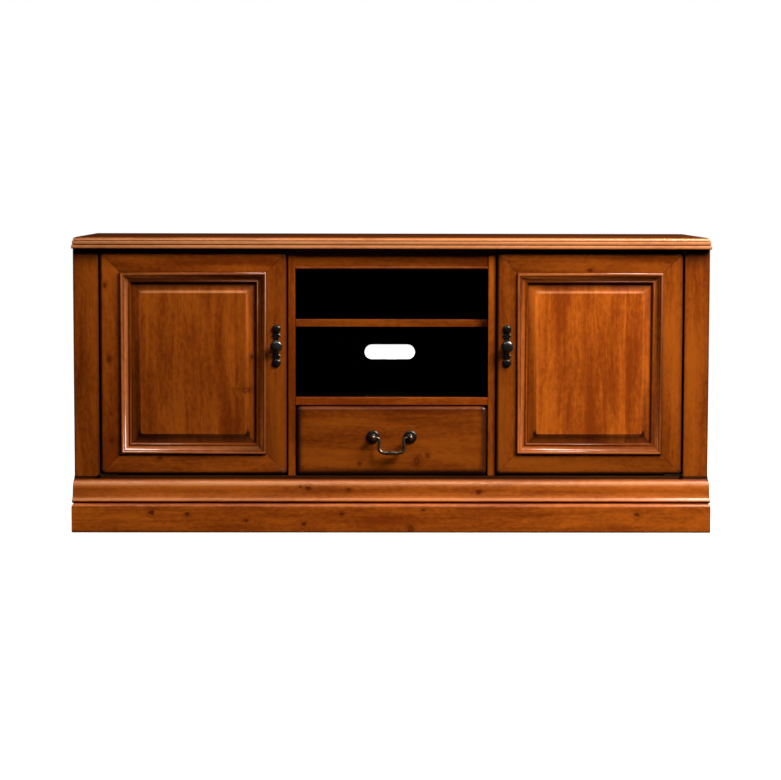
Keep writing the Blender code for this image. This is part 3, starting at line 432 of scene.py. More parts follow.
# Which way a board lies: the axes along its grain, across its face and into it
UPRIGHT = ("Z", "X", "Y")
UPRIGHT_DEEP = ("Z", "Y", "X")
LEVEL = ("X", "Z", "Y")
LYING = ("X", "Y", "Z")
DEEP = ("Y", "Z", "X")


def board_space(tree, where, axes):
    """Turn object coordinates so that X runs along the grain."""
    part = split(tree, where)
    return joined(tree, {i: part[axis] for i, axis in enumerate(axes)})


# Bands round a door: how far outside its moulding's rectangle, and an amount: of dark glazing and
# painted shade in the darkening tables, of pale rubbing and painted highlight in the paling tables
# Dark glazing in the quirks and round the moulding, with painted shade on the door's rounded outer
# edge
DOOR_GLAZE_AND_SHADE = (
    (-0.060, 0.0), (-0.0420, 0.0), (-0.0403, 0.40), (-0.0385, 0.22), (-0.0290, 0.30),
    (-0.0260, 0.74), (-0.0240, 0.30), (-0.0200, 0.25), (-0.0185, 0.0), (-0.0095, 0.0),
    (-0.0080, 0.25), (-0.0060, 0.0), (-0.0010, 0.0), (0.0002, 0.50), (0.0022, 0.12),
    (0.0060, 0.0), (0.0390, 0.0), (0.0430, 0.30), (0.0470, 0.88), (0.050, 0.88))
# Painted shade on the outer bead of each moulding's right-hand run
RIGHT_RUN_PAINTED_SHADE = (
    (-0.020, 0.0), (-0.0085, 0.0), (-0.0060, 0.45), (-0.0005, 0.45), (0.0010, 0.0), (0.005, 0.0))
# Painted shadow under the top run's bead, over its cove and the panel's upper bevel
HEAD_RUN_PAINTED_SHADOW = (
    (-0.060, 0.0), (-0.0440, 0.0), (-0.0403, 0.30), (-0.0340, 0.52), (-0.0263, 0.75),
    (-0.0196, 0.50), (-0.0100, 0.45), (-0.0080, 0.10), (-0.0060, 0.0), (0.005, 0.0))
# Painted shade on the panel's lower shoulder and bevel
FOOT_RUN_PAINTED_SHADE = (
    (-0.060, 0.0), (-0.0478, 0.0), (-0.0466, 0.50), (-0.0400, 0.78), (-0.0320, 0.68),
    (-0.0255, 0.60), (-0.0235, 0.0), (0.005, 0.0))
# Rubbed crests with painted highlight on the panel's shoulder, the cove and the outer bead
DOOR_RUB_AND_HIGHLIGHT = (
    (-0.060, 0.0), (-0.0500, 0.0), (-0.0475, 0.12), (-0.0440, 0.0), (-0.0185, 0.0),
    (-0.0150, 0.15), (-0.0110, 0.10), (-0.0080, 0.0), (-0.0060, 0.10), (-0.0040, 0.40),
    (-0.0015, 0.10), (0.0, 0.0), (0.010, 0.0))
# Painted highlight on the panel's upper shoulder
HEAD_RUN_PAINTED_HIGHLIGHT = (
    (-0.060, 0.0), (-0.0500, 0.0), (-0.0480, 0.55), (-0.0465, 0.80), (-0.0440, 0.50),
    (-0.0410, 0.0), (0.005, 0.0))
# Painted highlight on the coves and beads of the lit runs
LIT_RUNS_PAINTED_HIGHLIGHT = (
    (-0.060, 0.0), (-0.0205, 0.0), (-0.0175, 0.35), (-0.0130, 0.50), (-0.0095, 0.35),
    (-0.0080, 0.05), (-0.0060, 0.20), (-0.0040, 0.55), (-0.0010, 0.0), (0.005, 0.0))

# Steps of a door's bands: from, to and, where they aren't none to full, the two amounts
# Painted shade in the panel's corners, heaviest at the lower ones
PANEL_CORNER = (-0.0600, -0.0490, 0.0, 0.88)
PANEL_SHOULDER_INSIDE = (-0.0490, -0.0465)
PANEL_SHOULDER_OUTSIDE = (-0.0370, -0.0410)
LOWER_CORNERS = (0.45, 0.35, 0.25, 1.0)
# Darker at the door's outer corners
DOOR_CORNER = (0.0330, 0.0440, 0.0, 0.75)
MITRE_LINE = (0.0010, 0.0005, 0.0, 0.72)
MITRE_START = (0.0, 0.0010)
# Painted highlight of the lit runs: full on the left door, less on the right
LEFT_DOOR_LIT = (-0.05, 0.05, 1.0, 0.30)
DOOR_FRONT = (FACE_Y + 0.0135, FACE_Y + 0.0115)
DOOR_EDGE = (0.0460, 0.0472)
DOOR_EDGE_DEPTH = (FACE_Y + 0.002, FACE_Y + 0.005)
DOOR_EDGE_CLEAN = 0.6


def door_bands(tree, where):
    """Dark glazing and painted shade, rubbed crests and painted highlight, round a door's edges,
    corners, mitres, moulding and panel.
    """
    bands = place_group(tree, FRAMED_BANDS, {
        "Vector": where, "Middle": DOOR_MIDDLE, "Half": MOULDING_HALF})
    out, corner = bands["Distance"], bands["Corner"]
    right, above = bands["Right"], bands["Above"]
    below = minus(tree, bands["Level"], above)
    part = split(tree, where)

    # Painted shade in the panel's corners
    inner = spread(tree, corner, *PANEL_CORNER)
    for value, step in ((out, PANEL_SHOULDER_INSIDE), (out, PANEL_SHOULDER_OUTSIDE),
                        (part["Z"], LOWER_CORNERS)):
        inner = times(tree, inner, spread(tree, value, *step))
    mitre = spread(tree, minus(tree, out, corner), *MITRE_LINE)
    mitre = times(tree, mitre, spread(tree, out, *MITRE_START))
    # Dark glazing, with painted shade on the right-hand, top and lower runs and at the corners, and
    # dark mitre lines
    glaze_and_shade = most(tree, ramp(tree, out, DOOR_GLAZE_AND_SHADE),
                 times(tree, ramp(tree, out, RIGHT_RUN_PAINTED_SHADE), right),
                 times(tree, ramp(tree, out, HEAD_RUN_PAINTED_SHADOW), above),
                 times(tree, ramp(tree, out, FOOT_RUN_PAINTED_SHADE), below),
                 inner, spread(tree, corner, *DOOR_CORNER), mitre)

    # Painted highlight on the lit left-hand and lower runs and on the panel's upper shoulder
    lit = minus(tree, 1.0, most(tree, right, above))
    lit = times(tree, ramp(tree, out, LIT_RUNS_PAINTED_HIGHLIGHT), lit)
    lit = times(tree, lit, spread(tree, part["X"], *LEFT_DOOR_LIT))
    head = times(tree, ramp(tree, out, HEAD_RUN_PAINTED_HIGHLIGHT), above)
    rub_and_highlight = most(tree, ramp(tree, out, DOOR_RUB_AND_HIGHLIGHT), head, lit)

    edge = spread(tree, out, *DOOR_EDGE)
    edge = times(tree, edge, spread(tree, part["Y"], *DOOR_EDGE_DEPTH))
    front = spread(tree, part["Y"], *DOOR_FRONT)
    front = minus(tree, front, times(tree, edge, DOOR_EDGE_CLEAN), True)
    return {"GlazeAndShade": times(tree, glaze_and_shade, front), "RubAndHighlight": times(tree, rub_and_highlight, front),
            "Level": bands["Level"]}


# Dark glazing and painted shade on the drawer front's rounded edges
DRAWER_EDGE = ((-0.020, 0.0), (-0.0150, 0.16), (-0.0105, 0.58), (-0.0060, 0.82), (-0.0030, 0.90),
               (0.0, 0.95))
DRAWER_UPPER_EDGE = (0.0, 1.0, 1.0, 0.45)
DRAWER_CORNER = (-0.0260, -0.0090, 0.0, 0.80)


def drawer_bands(tree, where):
    """Dark glazing and painted shade round the drawer front, less along its lit upper edge, darkest
    at its corners.
    """
    bands = place_group(tree, FRAMED_BANDS, {
        "Vector": where, "Middle": DRAWER_MIDDLE, "Half": DRAWER_HALF})
    edge = ramp(tree, bands["Distance"], DRAWER_EDGE)
    edge = times(tree, edge, spread(tree, bands["Above"], *DRAWER_UPPER_EDGE))
    corner = spread(tree, bands["Corner"], *DRAWER_CORNER)
    return {"GlazeAndShade": most(tree, edge, corner), "RubAndHighlight": 0.0}


def height_bands(glaze_and_shade, rub_and_highlight):
    """Dark glazing and painted shade, and rubbed crests with painted highlight, that follow the
    height, for mouldings that run round the case.
    """
    def bands(tree, where):
        up = split(tree, where)["Z"]
        return {"GlazeAndShade": ramp(tree, up, glaze_and_shade), "RubAndHighlight": ramp(tree, up, rub_and_highlight)}
    return bands


# Dark glazing and painted shade along the stiles' arrises by the door gaps and on their outer
# arrises
STILE_ARRIS = ((0.685, 0.85), (0.6900, 0.55), (0.6920, 0.10), (0.6960, 0.0), (0.7420, 0.0),
               (0.7470, 0.45), (0.755, 0.85))
# Painted shadow of the top over the stiles' heads
STILE_HEAD = (0.6100, 0.6600, 0.0, 0.60)
STILE_FRONT = (FACE_Y + 0.0060, FACE_Y + 0.0010)
STILE_OUTSIDE = (0.7400, 0.7440)
# Painted shadow of the right door on the right partition's edge
WALL_EDGE = (0.2365, 0.2440, 0.0, 0.75)


def stile_bands(tree, where):
    """Dark glazing and painted shade on a face stile's arrises and painted shadow at its head, but
    not on its outer side.
    """
    part = split(tree, where)
    away = math_node(tree, "ABSOLUTE", part["X"])
    glaze_and_shade = most(tree, ramp(tree, away, STILE_ARRIS), spread(tree, part["Z"], *STILE_HEAD))
    inside = minus(tree, 1.0, spread(tree, away, *STILE_OUTSIDE))
    kept = most(tree, spread(tree, part["Y"], *STILE_FRONT), inside)
    return {"GlazeAndShade": times(tree, glaze_and_shade, kept), "RubAndHighlight": 0.0}


def wall_bands(tree, where):
    """Painted shadow of the right door on the outer half of the right partition's edge."""
    return {"GlazeAndShade": spread(tree, split(tree, where)["X"], *WALL_EDGE), "RubAndHighlight": 0.0}


# Where painted shade darkens the bays, in metres
BAY_DEPTH = (FACE_Y + 0.006, FACE_Y + 0.016)
BAY_WIDTH = (BAY_WALL_MIDDLE + 0.004, BAY_WALL_MIDDLE - 0.004)
BACK_DEPTH = (0.2380, 0.2350)
SHELF_FADE_START = 0.002
SHELF_FADE_END = 0.030


def bay_fade(tree, where):
    """Painted shade, full behind the front edges of the open bays, none on those edges or in the
    cupboards.
    """
    part = split(tree, where)
    away = math_node(tree, "ABSOLUTE", part["X"])
    return times(tree, spread(tree, part["Y"], *BAY_DEPTH), spread(tree, away, *BAY_WIDTH))


def back_fade(tree, where):
    """Painted shade, full on the back board's inner face behind the open bays."""
    inner_face = spread(tree, split(tree, where)["Y"], *BACK_DEPTH)
    return times(tree, bay_fade(tree, where), inner_face)


def shelf_fade(front):
    """Painted shade, full behind a shelf's own front edge."""
    def fade(tree, where):
        depth = split(tree, where)["Y"]
        return spread(tree, depth, front + SHELF_FADE_START, front + SHELF_FADE_END)
    return fade


def stained_pine(name, axes, bands=None, knots=(), light=STAIN_LIGHT, dark=STAIN_DARK,
                 turned_runs=None, fade=None, plank=WIDE_BOARD):
    """Lacquered, stained pine: grain axes, bands of glazing, painted shade, rubbing and painted
    highlight, knots as (along, across, radius, ring), and a fade of painted shade.
    """
    material, tree, shader = new_material(name)
    shader.inputs["Coat Weight"].default_value = LACQUER
    shader.inputs["Coat Roughness"].default_value = LACQUER_ROUGHNESS
    shader.inputs["Specular IOR Level"].default_value = LACQUER_SPECULAR
    where = object_place(tree)
    marks = bands(tree, where) if bands else {"GlazeAndShade": 0.0, "RubAndHighlight": 0.0}
    space = board_space(tree, where, axes)
    if turned_runs:
        turned = board_space(tree, where, turned_runs)
        space = add_node(tree, "ShaderNodeMix", {0: marks["Level"], 4: space, 5: turned},
                         data_type="VECTOR").outputs[1]
    eyes = 0.0
    for along, across, radius, ring in knots:
        knot = place_group(tree, PINE_KNOT, {
            "Vector": space, "Eyes": eyes, "Centre": (along, across, 0.0), "Radius": radius,
            "Ring": ring, "Shape": WIDE_KNOT if ring else LONG_KNOT})
        space, eyes = knot["Vector"], knot["Eyes"]
    figure = place_group(tree, PINE_FIGURE, {
        "Vector": space, "Board": object_number(tree, "board"), "Plank": plank})
    stain = place_group(tree, WIPED_STAIN, {
        "Tone": figure["Tone"], "Fibre": figure["Fibre"], "Specks": figure["Specks"],
        "Eyes": eyes, "GlazeAndShade": marks["GlazeAndShade"], "RubAndHighlight": marks["RubAndHighlight"],
        "Shade": object_number(tree, "shade"), "Light": light, "Dark": dark})
    colour = stain["Color"]
    dull = times(tree, marks["GlazeAndShade"], DULLED_BY_GLAZE_AND_SHADE, True) if bands else 0.0
    if fade:
        # Painted shade deep inside the open bays
        faded = fade(tree, where)
        colour = mix_colour(tree, faded, colour, BAY_BLACK)
        dull = most(tree, faded, dull)
    if bands or fade:
        wire(tree, shader, {"Coat Weight": spread(tree, dull, 0.0, 1.0, LACQUER, 0.0)})
    wire(tree, shader, {
        "Base Color": colour, "Roughness": stain["Roughness"],
        "Normal": bump(tree, stain["Height"], *GRAIN_BUMP)})
    return material


# Metal and plastic: noise scales, what their steps span, and what they do
FINE_NOISE = {"detail": 3.0, "rough": 0.6}
LONG_NOISE = {"detail": 2.0, "rough": 0.6}
BRONZE_METALLIC = 0.8
PIT_SCALE = (520.0,) * 3
PATCH_SCALE = (130.0,) * 3
PATCH_RANGE = (0.25, 0.6)
PIT_ROUGHNESS = 0.18
PIT_BUMP = (0.25, 0.0004)
BRUSH_SCALE = (60.0, 1400.0, 1400.0)
BRUSH_ROUGHNESS = 0.3
TARNISH_SCALE = (90.0,) * 3
TARNISH_RANGE = (0.35, 0.7)
TARNISHED = 0.55
GRIT_SCALE = (900.0,) * 3
GRIT_ROUGHNESS = 0.2
PLASTIC_ROUGHNESS = 0.45
GRIT_BUMP = (0.3, 0.0002)
PALE_SCALE = (60.0,) * 3
PALER = 1.5


def tinted(colour, share):
    """A colour made paler or darker."""
    return tuple(share * part for part in colour[:3]) + (1,)


def bronze(name, body, rubbed, front, back, roughness):
    """Darkened bronze, rubbed in patches from its front back to a depth."""
    material, tree, shader = new_material(name)
    shader.inputs["Metallic"].default_value = BRONZE_METALLIC
    where = object_place(tree)
    pits = stretched_noise(tree, where, PIT_SCALE, **FINE_NOISE)
    patches = spread(tree, stretched_noise(tree, where, PATCH_SCALE), *PATCH_RANGE)
    wear = times(tree, spread(tree, split(tree, where)["Y"], back, front), patches)
    wire(tree, shader, {
        "Base Color": mix_colour(tree, wear, body, rubbed),
        "Roughness": line(tree, pits, PIT_ROUGHNESS, roughness),
        "Normal": bump(tree, pits, *PIT_BUMP)})
    return material


def plain_metal(name, colour, roughness):
    """Bright metal, finely brushed along its length and tarnished in patches."""
    material, tree, shader = new_material(name)
    shader.inputs["Metallic"].default_value = 1.0
    where = object_place(tree)
    brushed = stretched_noise(tree, where, BRUSH_SCALE, **LONG_NOISE)
    tarnish = stretched_noise(tree, where, TARNISH_SCALE, **FINE_NOISE)
    tarnish = spread(tree, tarnish, *TARNISH_RANGE)
    wire(tree, shader, {
        "Base Color": mix_colour(tree, tarnish, colour, tinted(colour, TARNISHED)),
        "Roughness": line(tree, brushed, BRUSH_ROUGHNESS, roughness)})
    return material


def moulded_plastic(name, colour):
    """Dull moulded plastic with a fine spark-eroded texture."""
    material, tree, shader = new_material(name)
    where = object_place(tree)
    grit = stretched_noise(tree, where, GRIT_SCALE, **FINE_NOISE)
    pale = stretched_noise(tree, where, PALE_SCALE)
    wire(tree, shader, {
        "Base Color": mix_colour(tree, pale, colour, tinted(colour, PALER)),
        "Roughness": line(tree, grit, GRIT_ROUGHNESS, PLASTIC_ROUGHNESS),
        "Normal": bump(tree, grit, *GRIT_BUMP)})
    return material


# Finishes. Bands by height are (height, amount); knots are (along, across, radius, ring).
# On the top's edge, by height: painted shade along its underside and over its upper face, dark
# glazing and painted shade in the quirks, and rubbed paling with painted highlight on the three
# members
TOP_BANDS = height_bands(
    ((0.660, 0.60), (0.6680, 0.45), (0.6692, 0.05), (0.6752, 0.05), (0.6763, 0.70),
     (0.6774, 0.05), (0.6846, 0.05), (0.6857, 0.70), (0.6868, 0.05), (0.6925, 0.0),
     (0.6945, 0.65), (0.700, 0.75)),
    ((0.660, 0.0), (0.6690, 0.15), (0.6710, 0.84), (0.6750, 0.84), (0.6763, 0.0), (0.6776, 0.92),
     (0.6845, 0.92), (0.6857, 0.0), (0.6870, 0.84), (0.6905, 0.80), (0.6940, 0.0), (0.700, 0.0)))
# On the base moulding, by height: painted shade in the recess under the lip and on the ledge under
# the doors, and rubbed paling with painted highlight on the lip and the bead
BASE_BANDS = height_bands(
    ((0.060, 0.3), (0.0690, 0.75), (0.0715, 0.55), (0.0728, 0.30), (0.0765, 0.10), (0.0775, 0.0),
     (0.1195, 0.0), (0.1215, 0.20), (0.1238, 0.65), (0.1251, 0.90), (0.1262, 0.88),
     (0.1290, 0.88), (0.1318, 0.92), (0.140, 0.92)),
    ((0.060, 0.0), (0.0745, 0.0), (0.0768, 0.50), (0.0785, 0.75), (0.0805, 0.60), (0.0840, 0.10),
     (0.1020, 0.0), (0.1085, 0.10), (0.1115, 0.55), (0.1135, 0.85), (0.1165, 0.80),
     (0.1195, 0.40), (0.1225, 0.0), (0.140, 0.0)))
# On the plinth, by height: darker along its foot, painted shade on its top behind the lip, and
# painted highlight on its upper round
PLINTH_BANDS = height_bands(
    ((-0.005, 0.9), (0.0015, 0.60), (0.0060, 0.08), (0.0150, 0.0), (0.0685, 0.0), (0.0692, 0.40),
     (0.080, 0.40)),
    ((-0.005, 0.0), (0.0580, 0.0), (0.0620, 0.14), (0.0665, 0.14), (0.0692, 0.05), (0.080, 0.05)))

BASE_KNOTS = (
    (-0.196, 0.104, 0.006, 0.0), (-0.215, 0.107, 0.003, 0.0), (-0.101, 0.101, 0.004, 0.0),
    (0.206, 0.096, 0.006, 0.0))
PLINTH_KNOTS = (
    (-0.565, 0.049, 0.006, 0.0), (-0.480, 0.044, 0.0045, 0.0), (-0.342, 0.029, 0.004, 0.0),
    (-0.206, 0.021, 0.005, 0.0), (-0.116, 0.044, 0.004, 0.0), (0.045, 0.010, 0.007, 0.35),
    (0.075, 0.054, 0.0035, 0.0), (0.578, 0.044, 0.006, 0.0))
STILE_KNOTS = (
    (0.4077, -0.6644, 0.0055, 0.0), (0.5818, -0.673, 0.0048, 0.0), (0.2150, -0.659, 0.005, 0.0),
    (0.2797, -0.661, 0.0025, 0.0))
RAIL_KNOTS = (
    (-0.5466, 0.1739, 0.005, 0.0), (0.4657, 0.6174, 0.0055, 0.0), (0.6466, 0.607, 0.003, 0.0))
PANEL_KNOTS = ((0.3338, -0.3437, 0.0070, 0.65), (0.4119, -0.3299, 0.0045, 0.0))
DRAWER_KNOTS = (
    (0.0596, 0.1673, 0.008, 0.30), (0.0854, 0.1802, 0.005, 0.30), (-0.0756, 0.161, 0.004, 0.30))

# Widths of the planks that wide boards are glued up from, in metres
TOP_PLANK = 0.117
SIDE_PLANK = 0.110
SHELF_PLANK = 0.105
PANEL_PLANK = 0.092

TOP_PINE = stained_pine("top_pine", LYING, TOP_BANDS, plank=TOP_PLANK)
FACE_PINE = stained_pine("face_pine", UPRIGHT, stile_bands, STILE_KNOTS)
WALL_PINE = stained_pine("bay_wall_pine", UPRIGHT_DEEP, wall_bands, fade=bay_fade,
                         plank=SIDE_PLANK)
FRAME_UPRIGHT_PINE = stained_pine("door_upright_pine", UPRIGHT, door_bands, STILE_KNOTS)
FRAME_LEVEL_PINE = stained_pine("door_level_pine", LEVEL, door_bands, RAIL_KNOTS)
MOULDING_PINE = stained_pine("door_moulding_pine", UPRIGHT, door_bands, turned_runs=LEVEL)
PANEL_PINE = stained_pine("door_panel_pine", UPRIGHT, door_bands, PANEL_KNOTS, plank=PANEL_PLANK)
DRAWER_PINE = stained_pine("drawer_front_pine", LEVEL, drawer_bands, DRAWER_KNOTS)
BASE_PINE = stained_pine("base_pine", LEVEL, BASE_BANDS, BASE_KNOTS)
BASE_SIDE_PINE = stained_pine("base_side_pine", DEEP, BASE_BANDS)
PLINTH_PINE = stained_pine("plinth_pine", LEVEL, PLINTH_BANDS, PLINTH_KNOTS)
PLINTH_SIDE_PINE = stained_pine("plinth_side_pine", DEEP, PLINTH_BANDS)
RAIL_PINE = stained_pine("centre_rail_pine", LEVEL, fade=shelf_fade(RAIL_FRONT))
DECK_PINE = stained_pine("deck_pine", LYING, fade=shelf_fade(DECK_FRONT), plank=SHELF_PLANK)
SHELF_PINE = stained_pine("shelf_pine", LYING, fade=shelf_fade(SHELF_FRONT), plank=SHELF_PLANK)
SIDE_PINE = stained_pine("side_pine", UPRIGHT_DEEP, plank=SIDE_PLANK)
INNER_PINE = stained_pine("inner_pine", LEVEL, light=INNER_LIGHT, dark=INNER_DARK)
BOX_PINE = stained_pine("drawer_box_pine", DEEP, light=BOX_LIGHT, dark=BOX_DARK)
BOX_CROSS_PINE = stained_pine("drawer_cross_pine", LEVEL, light=BOX_LIGHT, dark=BOX_DARK)
BACK_BOARD = stained_pine("back_board", UPRIGHT, light=INNER_LIGHT, dark=INNER_DARK,
                          fade=back_fade)
KNOB_BRONZE = bronze("knob_bronze", body=(0.050, 0.044, 0.035, 1), rubbed=(0.120, 0.110, 0.090, 1),
                     front=-0.234, back=-0.2125, roughness=0.13)
PULL_BRONZE = bronze("pull_bronze", body=(0.060, 0.048, 0.036, 1), rubbed=(0.230, 0.170, 0.105, 1),
                     front=-0.232, back=-0.2125, roughness=0.18)
HINGE_BRASS = plain_metal("hinge_brass", (0.110, 0.075, 0.034, 1), roughness=0.34)
STEEL = plain_metal("zinc_steel", (0.55, 0.55, 0.54, 1), roughness=0.25)
CATCH_BROWN = moulded_plastic("catch_plastic", (0.045, 0.022, 0.012, 1))

# Small fittings made here, in metres; rings are (radius, rise)
ROUND_STEPS = 28
KNOB_MIDDLE = 0.2712
FINIAL_HEIGHTS = (0.3992, 0.4788)
FINIAL_RINGS = ((0.0088, 0.0), (0.0086, 0.0009), (0.0074, 0.0019), (0.0050, 0.0026),
                (0.0022, 0.0029))
PLATE_FRONT = -0.2128
PLATE_EDGE_WIDTH = 0.0011
PLATE_EDGE_DROP = 0.0009
FACING_FRONT = -0.9
STRIKE_MIDDLE = (0.287, -0.1880, 0.6324)
STRIKE_HALF_LENGTH = 0.017
STRIKE_HALF_HEIGHT = 0.006
STRIKE_THICKNESS = 0.0011
STRIKE_WALL_SHARE = 0.7
STRIKE_RIM_SHARE = 0.3
STRIKE_RIM_TAPER = (0.98, 1, 0.95)
STRIKE_CORNER = 0.0025
STRIKE_CORNER_STEPS = 5
STRIKE_SCREW_OFFSET = 0.0115
STRIKE_SCREW_RINGS = ((0.0024, 0.0), (0.0023, 0.0002), (0.0016, 0.0004), (0.0007, 0.00045))
SCREW_RINGS = ((0.0030, 0.0), (0.0029, 0.0003), (0.0022, 0.0006), (0.0010, 0.0007))
SCREW_INSET = 0.009
SCREW_SHARES = (0.0, 0.25, 0.5, 0.75, 1.0)

# How much paler or darker each board is drawn than its neighbours: partly the stain it took, partly
# painted light and shade for how the light falls on it
BOARD_SHADES = {
    "left_face_stile": 0.86, "right_face_stile": 0.88, "left_door_bottom_rail": 0.88,
    "left_door_lock_stile": 0.76, "right_door_panel": 1.44, "right_door_lock_stile": 0.74,
    "right_door_bottom_rail": 0.68, "right_door_top_rail": 0.84, "right_door_hinge_stile": 0.90,
    "drawer_front": 0.78, "drawer_deck": 1.12, "centre_shelf": 0.72, "centre_top_rail": 0.77,
    "base_moulding_front": 1.15, "plinth_front": 1.38}
BOARD_CYCLE = 997
BOARD_SPACING = 97.0

# Pieces


def number_board(piece, node):
    """Give a board a steady number, so that no two show the same figure, and its shade."""
    total = sum((i + 1) * ord(letter) for i, letter in enumerate(node))
    piece["board"] = total % BOARD_CYCLE / BOARD_SPACING
    piece["shade"] = BOARD_SHADES.get(node, 1.0)


def own_copy(source, name):
    """A copy of a piece with its own mesh."""
    piece = source.copy()
    piece.data = source.data.copy()
    piece.name = name
    bpy.context.scene.collection.objects.link(piece)
    return piece


def finish_with(piece, material):
    piece.data.materials.clear()
    piece.data.materials.append(material)


def close_mitres(piece, node):
    """Draw a frame member's two mitred ends apart by a hair, until they meet their neighbours."""
    low, high = (Vector(corner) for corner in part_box(node))
    size = high - low
    along = list(size).index(max(size))
    middle = (low[along] + high[along]) / 2
    for end in (-1, 1):
        pick(piece, "VERT", lambda corner: (corner.co[along] - middle) * end > 0)
        move = Vector((0, 0, 0))
        move[along] = end * MITRE_GAP
        bpy.ops.transform.translate(value=move)
        close_mesh()


def finished_copy(node, material, body, slot, mitred=False):
    """A merged copy of a CAD node, shaded smooth up to its arrises, that stands for it."""
    piece = own_copy(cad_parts[node], f"{node}_finished")
    open_mesh(piece)
    bpy.ops.mesh.remove_doubles(threshold=MERGE)
    bpy.ops.mesh.normals_make_consistent(inside=False)
    close_mesh()
    if mitred:
        close_mitres(piece, node)
    bpy.ops.object.shade_smooth_by_angle(angle=SMOOTH_ANGLE)
    flats = piece.modifiers.new("flat_faces_stay_flat", "WEIGHTED_NORMAL")
    flats.keep_sharp = True
    flats.weight = FLAT_FACE_WEIGHT
    bpy.ops.object.modifier_apply(modifier=flats.name)
    finish_with(piece, material)
    number_board(piece, node)
    settle(piece, body, slot, node)
    return piece


def refinish(node, material):
    """Give a CAD node that stays its finish."""
    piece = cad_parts[node]
    number_board(piece, node)
    for slot in piece.material_slots:
        slot.link = "OBJECT"
        slot.material = material


def on_plate_front(place):
    return abs(place.y - PLATE_FRONT) < ON_PLANE


def relieve_plate(piece):
    """Slope a backplate's outline back from its flat front."""
    pick(piece, "FACE",
         lambda face: face.normal.y < FACING_FRONT and on_plate_front(face.center))
    bpy.ops.mesh.dissolve_limited(angle_limit=FLAT_ANGLE)
    bpy.ops.mesh.inset(thickness=PLATE_EDGE_WIDTH, depth=0.0, use_even_offset=False)
    close_mesh()
    flat = {corner for face in piece.data.polygons if face.select for corner in face.vertices}
    pick(piece, "VERT", lambda corner: on_plate_front(corner.co) and corner.index not in flat)
    bpy.ops.transform.translate(value=(0, PLATE_EDGE_DROP, 0))
    close_mesh()
    bpy.ops.object.shade_smooth_by_angle(angle=SMOOTH_ANGLE)


def start_piece(name):
    """Name a new primitive, put its place into its mesh and open it."""
    piece = bpy.context.active_object
    piece.name = name
    take(piece)
    bpy.ops.object.transform_apply(location=True, rotation=True, scale=True)
    open_mesh(piece)
    return piece


def end_piece():
    """Turn the open piece's faces outwards and shade it."""
    bpy.ops.mesh.select_all(action="SELECT")
    bpy.ops.mesh.normals_make_consistent(inside=False)
    close_mesh()
    bpy.ops.object.shade_smooth_by_angle(angle=SMOOTH_ANGLE)


def raise_faces(rise):
    bpy.ops.mesh.extrude_region_move(TRANSFORM_OT_translate={"value": (0, rise, 0)})


def button(name, centre, rings, facing):
    """A turned button on a flat face: rings of (radius, rise), rising front or backwards."""
    deselect()
    bpy.ops.mesh.primitive_circle_add(vertices=ROUND_STEPS, radius=rings[0][0], fill_type="NGON",
                                      location=centre, rotation=(QUARTER_TURN, 0, 0))
    piece = start_piece(name)
    for (radius, rise), (next_radius, next_rise) in zip(rings, rings[1:]):
        raise_faces(facing * (next_rise - rise))
        share = next_radius / radius
        bpy.ops.transform.resize(value=(share, 1, share), center_override=centre)
    end_piece()
    return piece


def strike_plate(name, middle):
    """A thin plate with rounded corners on the back of a door."""
    deselect()
    bpy.ops.mesh.primitive_plane_add(size=2, location=middle, rotation=(-QUARTER_TURN, 0, 0))
    piece = start_piece(name)
    bpy.ops.transform.resize(value=(STRIKE_HALF_LENGTH, 1, STRIKE_HALF_HEIGHT),
                             center_override=middle)
    bpy.ops.mesh.bevel(offset=STRIKE_CORNER, segments=STRIKE_CORNER_STEPS, affect="VERTICES")
    bpy.ops.mesh.select_all(action="SELECT")
    raise_faces(STRIKE_THICKNESS * STRIKE_WALL_SHARE)
    raise_faces(STRIKE_THICKNESS * STRIKE_RIM_SHARE)
    bpy.ops.transform.resize(value=STRIKE_RIM_TAPER, center_override=middle)
    end_piece()
    return piece


def moved_copy(source, name, move):
    """A copy of a finished piece, moved in its own mesh."""
    piece = own_copy(source, name)
    open_mesh(piece)
    bpy.ops.transform.translate(value=move)
    close_mesh()
    return piece


def dress(piece, material, body, slot):
    finish_with(piece, material)
    settle(piece, body, slot)


CASE_BOARDS = {
    "top_board": TOP_PINE, "left_face_stile": FACE_PINE, "right_face_stile": FACE_PINE,
    "left_partition": WALL_PINE, "right_partition": WALL_PINE, "centre_top_rail": RAIL_PINE,
    "drawer_deck": DECK_PINE, "centre_shelf": SHELF_PINE, "base_moulding_front": BASE_PINE,
    "base_moulding_left": BASE_SIDE_PINE, "base_moulding_right": BASE_SIDE_PINE,
    "plinth_front": PLINTH_PINE, "plinth_left": PLINTH_SIDE_PINE,
    "plinth_right": PLINTH_SIDE_PINE, "left_side_panel": SIDE_PINE, "right_side_panel": SIDE_PINE}
for node_name, finish in CASE_BOARDS.items():
    finished_copy(node_name, finish, "carcass", "stained_pine")

